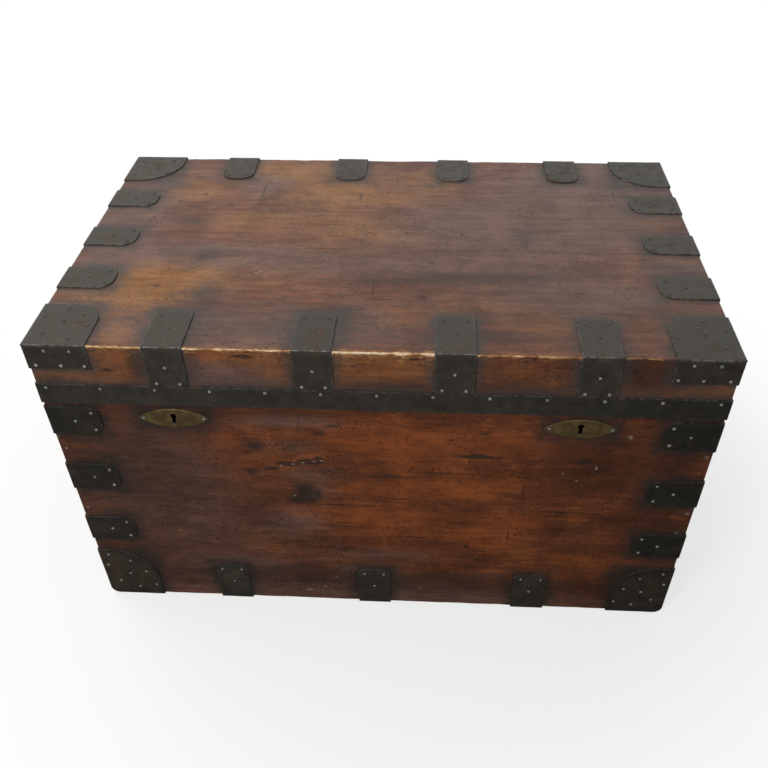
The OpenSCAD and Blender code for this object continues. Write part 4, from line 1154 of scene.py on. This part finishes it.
def rust_specks(finish, colour):
    """Adds small specks of lighter rust, which come in crowds."""
    crowd = finish.cloudy(30 * MM, detail=2)
    specks = finish.cloudy(3.5 * MM, detail=2)
    mask = finish.math("MULTIPLY", finish.span(specks, 0.56, 0.66), finish.span(crowd, 0.50, 0.62, 0, 0.7))
    return finish.mix(mask, colour, toned(settings("iron").rust, 1.6))


def darkening_and_shade(finish, black, hanging):
    """How dark the iron is painted: black gives it at the left and right end, its rise towards the right
    being painted shade, and hanging gives painted shade on what hangs down the lid's sides.
    """
    place = finish.node("ShaderNodeSeparateXYZ", {0: finish.place}).outputs
    sideways = finish.span(place[0], 100 * MM, 420 * MM, *black)
    downwards = finish.span(place[2], LID_TOP - 1 * MM, LID_TOP - 6 * MM, 0, hanging)
    return finish.math("MAXIMUM", sideways, downwards)


def iron_finish(name, rusty, worn_share=1.0, black=(0.0, 0.0), hanging=0.0):
    """Blackened iron with a mottled skin, rust blooms and rubbed edges.

    From 0 to 1: rusty is the share of rust, worn_share the rubbed metal at the edges, black the darkening at
    the left and right end, whose rise to the right is painted shade, and hanging the painted shade on what
    hangs down the lid's sides.
    """
    iron = settings("iron")
    finish = Finish(name)
    mottle = finish.cloudy(16 * MM, detail=5, roughness=0.6)
    colour = finish.mix(mottle, toned(iron.skin, 0.55), toned(iron.skin, 1.45))
    cloudy_rust = finish.span(finish.cloudy(60 * MM), 0.52 - 0.3 * rusty, 0.72 - 0.3 * rusty)
    blooms = finish.math("MULTIPLY", cloudy_rust, finish.span(mottle, 0.40 - 0.2 * rusty, 0.62))
    off_rim = finish.math("MULTIPLY_ADD", finish.painted("rim"), -0.9, 1.0)
    blooms = finish.math("MULTIPLY", blooms, off_rim)
    colour = finish.mix(finish.math("MULTIPLY", blooms, 0.5 + 0.4 * rusty), colour, iron.rust)
    colour = rust_specks(finish, colour)
    # Darkens the iron: by black, whose rise towards the right end is painted shade where the light falls off,
    # and by hanging, painted shade on what hangs down the lid's sides.
    colour = finish.mix(darkening_and_shade(finish, black, hanging), colour, toned(iron.skin, 0.2))
    dashes = finish.span(finish.cloudy(7 * MM, detail=4, roughness=0.6), 0.44, 0.60, 0, worn_share)
    worn = finish.math("MULTIPLY", finish.painted("rubbed"), dashes)
    colour = finish.mix(finish.math("MULTIPLY", worn, 0.6), colour, iron.rubbed)
    rough = finish.math("MULTIPLY_ADD", worn, -0.12, finish.span(mottle, 0.3, 0.7, 0.40, 0.58))
    rough = finish.math("MULTIPLY_ADD", blooms, 0.2, rough)
    skin = finish.bump(mottle, 0.35 * MM, 0.35)
    fine = finish.bump(finish.cloudy(1.6 * MM, detail=2), 0.12 * MM, 0.25, skin)
    specular = 0.35 - 0.2 * black[0]
    return finish.done(colour, rough, fine, specular, finish.math("MULTIPLY", worn, 0.8))


def nail_finish():
    """The nail heads: iron rubbed bright, dull and dark with dirt, and with painted shade where they lie
    flat.
    """
    iron = settings("iron")
    finish = Finish("nail_iron")
    mottle = finish.cloudy(9 * MM)
    grime = finish.painted("grime")
    colour = finish.mix(finish.span(mottle, 0.35, 0.65), toned(iron.nail, 0.6), iron.nail)
    # Dirt, and painted shade on the heads that face up or down, make a head dark and dull.
    colour = finish.mix(grime, colour, toned(iron.skin, 0.5))
    rough = finish.math("MULTIPLY_ADD", grime, 0.15, finish.span(mottle, 0.3, 0.7, 0.32, 0.22))
    metal = finish.math("MULTIPLY_ADD", grime, -0.8, 0.85)
    fine = finish.bump(finish.cloudy(1.2 * MM, detail=2), 0.1 * MM, 0.3)
    return finish.done(colour, rough, fine, 0.5, metal)


# The rings of a nail head, from its foot to its top: their radius and height as shares, and their grime
HEAD_RINGS = np.array([(0, -0.3), (1, -0.3), (1, 0.10), (0.93, 0.42), (0.74, 0.72), (0.42, 0.93), (0, 1)])
HEAD_GRIME = np.array([1, 1, 1, 1, 0.75, 0.15, 0])
HEAD_SIDES = 12
HEAD_H = 1.3 * MM


def nail_heads(node, seed):
    """Domed heads at a node's nails: rings of points round each nail's axis, on its CAD nail's outer end.

    Each head is up to a fifth narrower and a quarter lower than the fullest, and leans a little. Heads that
    face up or down are darkened all over, as painted shade; all are dirty round the rim, some a little all
    over.
    """
    lowest, highest = solids(node)
    size, middle = highest - lowest, (highest + lowest) / 2
    axis = size.argmin(axis=1)
    nails = np.arange(len(axis))
    draw = np.random.default_rng(seed)
    box_middle = np.array([0, 0, (FLOOR + LID_TOP) / 2])
    out = np.zeros((len(axis), 3))
    out[nails, axis] = np.sign((middle - box_middle)[nails, axis])
    side = np.roll(np.abs(out), 1, axis=1)
    cross = np.cross(out, side)
    radius = size.max(axis=1) / 2 * draw.uniform(0.82, 1.0, len(axis))
    head = HEAD_H * draw.uniform(0.75, 1.0, len(axis))
    lean = draw.uniform(-0.12, 0.12, (2, len(axis)))
    angle = np.linspace(0, 2 * math.pi, HEAD_SIDES + 1)[:-1]
    ring_x, ring_y = HEAD_RINGS[:, :1] * np.cos(angle), HEAD_RINGS[:, :1] * np.sin(angle)
    leaning = 0.12 + lean[0][:, None, None] * ring_x + lean[1][:, None, None] * ring_y
    on_foot = (HEAD_RINGS[:, 1] <= 0)[None, :, None]
    rise = HEAD_RINGS[:, 1][None, :, None] - np.where(on_foot, 0, leaning)
    steps = [(radius[:, None, None] * ring_x, side), (radius[:, None, None] * ring_y, cross),
             (head[:, None, None] * rise, out)]
    points = (middle + out * size[nails, axis][:, None] / 2 - out * HEAD_H)[:, None, None]
    for amount, way in steps:
        points = points + amount[..., None] * way[:, None, None]
    quads = grid_quads(len(HEAD_RINGS), HEAD_SIDES, closed=True)
    all_quads = quads[None] + HEAD_SIDES * len(HEAD_RINGS) * nails[:, None, None]
    # Painted shade all over the heads that face up or down; a little dirt drawn at random on the others.
    on_nail = np.maximum(axis == 2, 0.5 * draw.uniform(0, 1, len(axis)) ** 2)
    grime = np.maximum(on_nail[:, None, None], HEAD_GRIME[None, :, None]) * np.ones(HEAD_SIDES)
    shape = Shape()
    shape.add(points, all_quads.reshape(-1, 4), grime=grime.ravel())
    return shape


# Brass

def brass_finish(name, bright, tarnish, roughness=0.38, metallic=0.8):
    """Old brass: bright where it is rubbed, with dull olive tarnish in clouds and scratches."""
    finish = Finish(name)
    clouds = finish.cloudy(14 * MM, detail=5, roughness=0.65)
    scratches = finish.noise(finish.stretch((30 * MM, 1 * MM, 1.2 * MM)), detail=1)
    worn = finish.span(clouds, 0.42, 0.66)
    colour = finish.mix(worn, tarnish, bright)
    colour = finish.mix(finish.math("MULTIPLY", finish.painted("rubbed"), 0.7), colour, bright)
    rough = finish.math("SUBTRACT", roughness + 0.12, finish.math("MULTIPLY", worn, 0.14))
    return finish.done(colour, rough, finish.bump(scratches, 0.08 * MM, 0.3), 0.5, metallic)


def steel_finish():
    """The lock bolts' filed steel."""
    finish = Finish("filed_steel")
    lines = finish.noise(finish.stretch((20 * MM, 0.6 * MM, 0.6 * MM)), detail=2)
    steel = settings("brass").steel
    colour = finish.mix(lines, toned(steel, 0.5), steel)
    rough = finish.span(lines, 0.3, 0.7, 0.3, 0.45)
    return finish.done(colour, rough, finish.bump(lines, 0.1 * MM, 0.3), 0.5, 0.9)


def escutcheon_shape(side):
    """A pointed oval round a keyhole: points on rays from the keyhole's waist, from its rim to the oval's.

    The oval is where two circles overlap. The plate's face falls by a quarter circle at both rims.
    """
    lowest, highest = low("escutcheon_" + side), high("escutcheon_" + side)
    width, _, height = highest - lowest
    thickness = WALL_FRONT - lowest[1]
    arc = (width ** 2 + height ** 2) / (4 * height)
    waist = keyhole_middle(side)
    rise = waist[2] - (lowest[2] + highest[2]) / 2
    angle = np.linspace(0, 2 * math.pi, 145)[:-1]
    upper = ray_circle(angle, (0, height / 2 - arc - rise), arc)
    lower = ray_circle(angle, (0, arc - height / 2 - rise), arc)
    rim, hole = np.minimum(upper, lower), keyhole_reach(angle)
    share = np.array([0, 0.01, 0.03, 0.07, 0.2, 0.4, 0.6, 0.8, 0.93, 0.97, 0.99, 1])
    reach = hole + share[:, None] * (rim - hole)
    edge = np.minimum(reach - hole, rim - reach)
    depth = thickness - rounding(edge, 0.6 * MM)
    across, up = reach * np.cos(angle), reach * np.sin(angle)
    face = np.stack([waist[0] + across, WALL_FRONT - depth, waist[2] + up], axis=-1)
    back = face.copy()
    back[..., 1] = WALL_FRONT
    rings = np.concatenate([face, back[::-1], face[:1]])
    shape = Shape()
    rubbed = np.exp(-edge / (0.8 * MM))
    rubbed = np.concatenate([rubbed, rubbed[::-1], rubbed[:1]]).ravel()
    shape.add(rings, grid_quads(len(rings), len(angle), closed=True), rubbed=rubbed)
    return shape


# The pieces

class TRUNK_OT_lid_boards(Operator):
    """Makes the lid's top boards and rails."""

    bl_idname = "trunk.lid_boards"
    bl_label = "Lid boards"

    def execute(self, context):
        wood = teak("teak_lid", 0, 0.0, paint_lid, 0.01, 0.40, 0.3, lid=True)
        ends = teak("teak_lid_ends", 1, 1.3, None, 0.0, 0.45, 0.3)
        back = teak("teak_lid_back", 0, 2.1, None, 0.0, 0.45, 0.3)
        flat, upright, end = (0, 1, 2), (0, 2, 1), (1, 2, 0)
        front_edges = {3: front_wear, 2: seam_wear}
        back_edges = {3: seam_wear, 2: light_wear}
        boards = [
            ("lid_top_front_teak", "lid_top_front_board", flat, 1, lid_paint, front_edges, 0.28, 0, wood),
            ("lid_top_rear_teak", "lid_top_rear_board", flat, 2, lid_paint, back_edges, 0.28, 1, wood),
            ("lid_front_rail_teak", "lid_front_rail", upright, 3, lid_paint, None, 0.3, 1, wood),
            ("lid_left_rail_teak", "lid_left_rail", end, 4, plain_paint(61), None, 0.0, None, ends),
            ("lid_right_rail_teak", "lid_right_rail", end, 5, plain_paint(62), None, 0.0, None, ends),
        ]
        for name, node, order, seed, paint, worn, ends_worn, sharp, material in boards:
            shape = board(node, order, seed, LID_IRON, paint, worn, ends_worn, sharp)
            make(shape, name, material, "lid", [node])
        dress(back, "lid_back_rail")
        return {"FINISHED"}


class TRUNK_OT_wall_boards(Operator):
    """Makes the walls' and the bottom's boards, and cuts the locks' mortises and keyholes."""

    bl_idname = "trunk.wall_boards"
    bl_label = "Wall boards"

    def execute(self, context):
        front = teak("teak_front", 0, 0.31, paint_front, 0.0, 0.42, 0.12)
        ends = teak("teak_ends", 1, 0.9, None, -0.01, 0.45, 0.25)
        back = teak("teak_back", 0, 1.7, None, -0.01, 0.45, 0.25)
        upright, end, flat = (0, 2, 1), (1, 2, 0), (0, 1, 2)
        boards = [
            ("front_lower_teak", "front_lower_board", upright, 21, wall_paint, 0.25, 1, front),
            ("front_upper_teak", "front_upper_board", upright, 22, wall_paint, 0.25, 0, front),
            ("back_lower_teak", "back_lower_board", upright, 23, plain_paint(63), 0.2, None, back),
            ("bottom_front_teak", "bottom_front_board", flat, 28, wall_paint, 0.25, None, front),
            ("bottom_rear_teak", "bottom_rear_board", flat, 29, plain_paint(66), 0.2, None, back),
            ("left_lower_teak", "left_lower_board", end, 24, plain_paint(64), 0.0, None, ends),
            ("left_upper_teak", "left_upper_board", end, 25, plain_paint(64), 0.0, None, ends),
            ("right_lower_teak", "right_lower_board", end, 26, plain_paint(65), 0.0, None, ends),
            ("right_upper_teak", "right_upper_board", end, 27, plain_paint(65), 0.0, None, ends),
        ]
        pieces = {}
        for name, node, order, seed, paint, ends_worn, sharp, material in boards:
            worn = {0: foot_wear} if node == "bottom_front_board" else None
            shape = board(node, order, seed, WALL_IRON, paint, worn, ends_worn, sharp)
            pieces[node] = make(shape, name, material, "trunk", [node])
        for side in ("left", "right"):
            lowest, highest = low("lock_case_" + side), high("lock_case_" + side)
            room = np.array([0, 5 * MM, 5 * MM])
            cut(pieces["front_upper_board"], block_shape(lowest, highest + room))
            cut(pieces["front_upper_board"], keyhole_shape(side))
        dress(back, "back_upper_board")
        return {"FINISHED"}


class TRUNK_OT_straps(Operator):
    """Makes the straps bent over the edges."""

    bl_idname = "trunk.straps"
    bl_label = "Straps"

    def execute(self, context):
        lid_iron = iron_finish("lid_iron", 0.1, 0.4, hanging=0.15)
        wall_iron = iron_finish("wall_iron", 0.3, 0.12, (0.58, 0.72))
        foot_iron = iron_finish("foot_strap_iron", 0.2, 0.12, (0.22, 0.45))
        materials = {"lid": lid_iron, "trunk": wall_iron, "foot": foot_iron}
        for number, (name, node, body, leg_a, leg_b, tip_a, tip_b, worn) in enumerate(STRAPS):
            shape = Shape()
            tips = STRAP_TIPS[tip_a], STRAP_TIPS[tip_b]
            for index, (lowest, highest) in enumerate(zip(*solids(node))):
                seed = 100 + 10 * number + index
                strap(shape, lowest, highest, leg_a, leg_b, tips, seed, FOOT_R if worn else 0.0)
            make(shape, name, materials["foot" if tip_a == "foot" else body], body, [node])
        dress(lid_iron, "hinge_strap_left", "hinge_strap_right", "hinge_leaf_left",
              "hinge_leaf_right", "hinge_pin_left", "hinge_pin_right")
        return {"FINISHED"}


class TRUNK_OT_caps(Operator):
    """Makes the corner caps and the band."""

    bl_idname = "trunk.caps"
    bl_label = "Corners and band"

    def execute(self, context):
        cap = iron_finish("cap_iron", 0.15, 0.4, (0.0, 0.15), 0.35)
        foot = iron_finish("foot_iron", 1.0, 0.1, (0.45, 0.62))
        front_tip, rear_tip, foot_tip = 35 * MM, 66 * MM, 66 * MM
        for number, (place, y_way, tip) in enumerate([("front", Y, front_tip), ("rear", -Y, rear_tip)]):
            for side, x_way in (("left", X), ("right", -X)):
                seed = 300 + 10 * number + (side == "left")
                node = f"lid_corner_{place}_{side}"
                make(lid_cap(node, x_way, y_way, tip, seed), node + "_iron", cap, "lid", [node])
                node = f"foot_corner_{place}_{side}"
                shape = foot_cap(node, x_way, y_way, foot_tip, seed + 50)
                make(shape, node + "_iron", foot, "trunk", [node])
        band = iron_finish("band_iron", 0.0, 0.22, (0.26, 0.62))
        make(band_shape(), "band_iron", band, "lid",
             ["lid_band_front", "lid_band_left", "lid_band_right"])
        return {"FINISHED"}


class TRUNK_OT_nails(Operator):
    """Makes the domed nail heads."""

    bl_idname = "trunk.nails"
    bl_label = "Nails"

    def execute(self, context):
        material = nail_finish()
        make(nail_heads("lid_nails", 401), "lid_nail_heads", material, "lid", ["lid_nails"])
        make(nail_heads("body_nails", 402), "body_nail_heads", material, "trunk", ["body_nails"])
        make(nail_heads("escutcheon_nails", 403), "escutcheon_pins", material, "trunk",
             ["escutcheon_nails"])
        return {"FINISHED"}


class TRUNK_OT_locks(Operator):
    """Makes the escutcheons and finishes the locks."""

    bl_idname = "trunk.locks"
    bl_label = "Locks"

    def execute(self, context):
        brass = settings("brass")
        plate = brass_finish("escutcheon_brass", brass.bright, brass.tarnish, 0.42, 0.6)
        case = brass_finish("lock_brass", brass.bright, brass.tarnish)
        for side in ("left", "right"):
            make(escutcheon_shape(side), f"escutcheon_{side}_brass", plate, "trunk",
                 ["escutcheon_" + side])
        dress(case, "lock_case_left", "lock_case_right", "link_plate_left", "link_plate_right")
        dress(steel_finish(), "lock_bolt_left", "lock_bolt_right")
        return {"FINISHED"}


class TRUNK_OT_handles(Operator):
    """Finishes the drop handles and their plates."""

    bl_idname = "trunk.handles"
    bl_label = "Handles"

    def execute(self, context):
        dress(iron_finish("handle_iron", 0.3), "handle_left", "handle_right", "handle_plate_left",
              "handle_plate_right")
        return {"FINISHED"}


SENSOR_W = 36


class TRUNK_OT_stage(Operator):
    """Makes the floor, the lamps and the camera."""

    bl_idname = "trunk.stage"
    bl_label = "Stage"

    def execute(self, context):
        stage = settings("stage")
        context.scene.view_settings.view_transform = "Standard"
        self.floor(stage)
        self.sky(stage)
        self.lamp("window_lamp", stage.window, (-1.5, 0.5, 1.9), 1.6, False)
        self.lamp("front_lamp", stage.front, (-0.7, -1.35, 1.7), 0.5)
        self.camera(stage)
        return {"FINISHED"}

    def floor(self, stage):
        """A wide floor just under the trunk, which the camera sees turn white away from its middle."""
        half, under = 12.0, -0.2 * MM
        turns_white, is_white, whiteness = 0.45, 1.0, 0.7
        mesh = bpy.data.meshes.new("floor")
        corners = [(-half, -half), (half, -half), (half, half), (-half, half)]
        fill_mesh(mesh, np.array([(x, y, under) for x, y in corners]), np.array([[0, 1, 2, 3]]))
        floor = bpy.data.objects.new("floor", mesh)
        bpy.context.scene.collection.objects.link(floor)
        finish = Finish("pale_floor")
        finish.shader.inputs["Roughness"].default_value = 0.9
        rays = finish.node("ShaderNodeLightPath", {}).outputs
        seen = finish.math("MAXIMUM", rays["Is Camera Ray"], rays["Is Transmission Ray"])
        distance = finish.vector("LENGTH", finish.place)
        far = finish.span(distance, turns_white, is_white, whiteness, 1.0)
        white = finish.node("ShaderNodeEmission", {"Color": (1, 1, 1), "Strength": 1.0}).outputs[0]
        pale = finish.mix(rays["Is Glossy Ray"], tuple(stage.floor), tuple(stage.mirrored))
        finish.feed(finish.shader.inputs["Base Color"], pale)
        share = finish.math("MULTIPLY", seen, far)
        mixed = finish.node("ShaderNodeMixShader", {0: share, 1: finish.shader.outputs[0], 2: white})
        finish.feed(finish.tree.nodes["Material Output"].inputs["Surface"], mixed.outputs[0])
        mesh.materials.append(finish.material)

    def sky(self, stage):
        """White where it is seen or mirrored, and an even plain light otherwise."""
        world = bpy.data.worlds.new("plain_sky")
        bpy.context.scene.world = world
        world.use_nodes = True
        nodes = Nodes(world.node_tree)
        rays = nodes.node("ShaderNodeLightPath", {}).outputs
        seen = nodes.math("MAXIMUM", rays["Is Camera Ray"], rays["Is Glossy Ray"])
        seen = nodes.math("MAXIMUM", seen, rays["Is Transmission Ray"])
        strength = nodes.node("ShaderNodeMapRange", {"Value": seen, "To Min": stage.sky, "To Max": 1.0})
        background = world.node_tree.nodes["Background"].inputs
        nodes.feed(background["Color"], (1, 1, 1))
        nodes.feed(background["Strength"], strength.outputs[0])

    def lamp(self, name, power, place, size, mirrored=True):
        """A square lamp that faces the middle of the trunk, seen in reflections or not."""
        data = bpy.data.lights.new(name, "AREA")
        data.energy, data.size = power, size
        middle = np.array([0, 0, 0.3])
        lamp = bpy.data.objects.new(name, data)
        lamp.visible_glossy = mirrored
        bpy.context.scene.collection.objects.link(lamp)
        away = unit(np.array(place) - middle)
        side = unit(np.cross(Z, away))
        turned = np.column_stack([side, np.cross(away, side), away])
        lamp.matrix_world = Matrix.Translation(place) @ Matrix(turned.tolist()).to_4x4()

    def camera(self, stage):
        """A level camera turned, tilted and then rolled about its own line of sight."""
        data = bpy.data.cameras.new("photo_camera")
        data.lens, data.sensor_width = stage.lens, SENSOR_W
        camera = bpy.data.objects.new("photo_camera", data)
        bpy.context.scene.collection.objects.link(camera)
        sight = np.array([-math.sin(stage.turn) * math.cos(stage.tilt),
                          math.cos(stage.turn) * math.cos(stage.tilt), -math.sin(stage.tilt)])
        right = unit(np.cross(sight, Z))
        upward = np.cross(right, sight)
        leaning = math.cos(stage.roll) * right - math.sin(stage.roll) * upward
        standing = math.sin(stage.roll) * right + math.cos(stage.roll) * upward
        turned = np.column_stack([leaning, standing, -sight])
        place = (stage.across, -stage.away, stage.height)
        camera.matrix_world = Matrix.Translation(place) @ Matrix(turned.tolist()).to_4x4()
        bpy.context.scene.camera = camera


class TRUNK_PT_sidebar(Panel):
    """Lists the trunk's pieces and settings."""

    bl_idname = "TRUNK_PT_sidebar"
    bl_label = "Travel trunk"
    bl_space_type = "VIEW_3D"
    bl_region_type = "UI"
    bl_category = "Trunk"

    def draw(self, context):
        for operator in OPERATORS:
            self.layout.operator(operator.bl_idname)
        for name, group in GROUPS.items():
            box = self.layout.box()
            box.label(text=name.capitalize())
            for key in group.__annotations__:
                box.prop(getattr(context.scene, "trunk_" + name), key)


GROUPS = {"wood": TrunkWood, "iron": TrunkIron, "brass": TrunkBrass, "stage": TrunkStage}
OPERATORS = (
    TRUNK_OT_stage, TRUNK_OT_lid_boards, TRUNK_OT_wall_boards, TRUNK_OT_straps, TRUNK_OT_caps,
    TRUNK_OT_nails, TRUNK_OT_locks, TRUNK_OT_handles,
)


def register():
    """Registers the settings, the operators and the panel."""
    for name, group in GROUPS.items():
        bpy.utils.register_class(group)
        setattr(bpy.types.Scene, "trunk_" + name, PointerProperty(type=group))
    for kind in (*OPERATORS, TRUNK_PT_sidebar):
        bpy.utils.register_class(kind)


def unregister():
    """Takes all of it back, last first."""
    for kind in reversed((*OPERATORS, TRUNK_PT_sidebar)):
        bpy.utils.unregister_class(kind)
    for name, group in GROUPS.items():
        delattr(bpy.types.Scene, "trunk_" + name)
        bpy.utils.unregister_class(group)


def main():
    """Makes every piece in order."""
    register()
    for operator in OPERATORS:
        getattr(bpy.ops.trunk, operator.bl_idname.split(".")[1])()


if __name__ == "__main__":
    main()
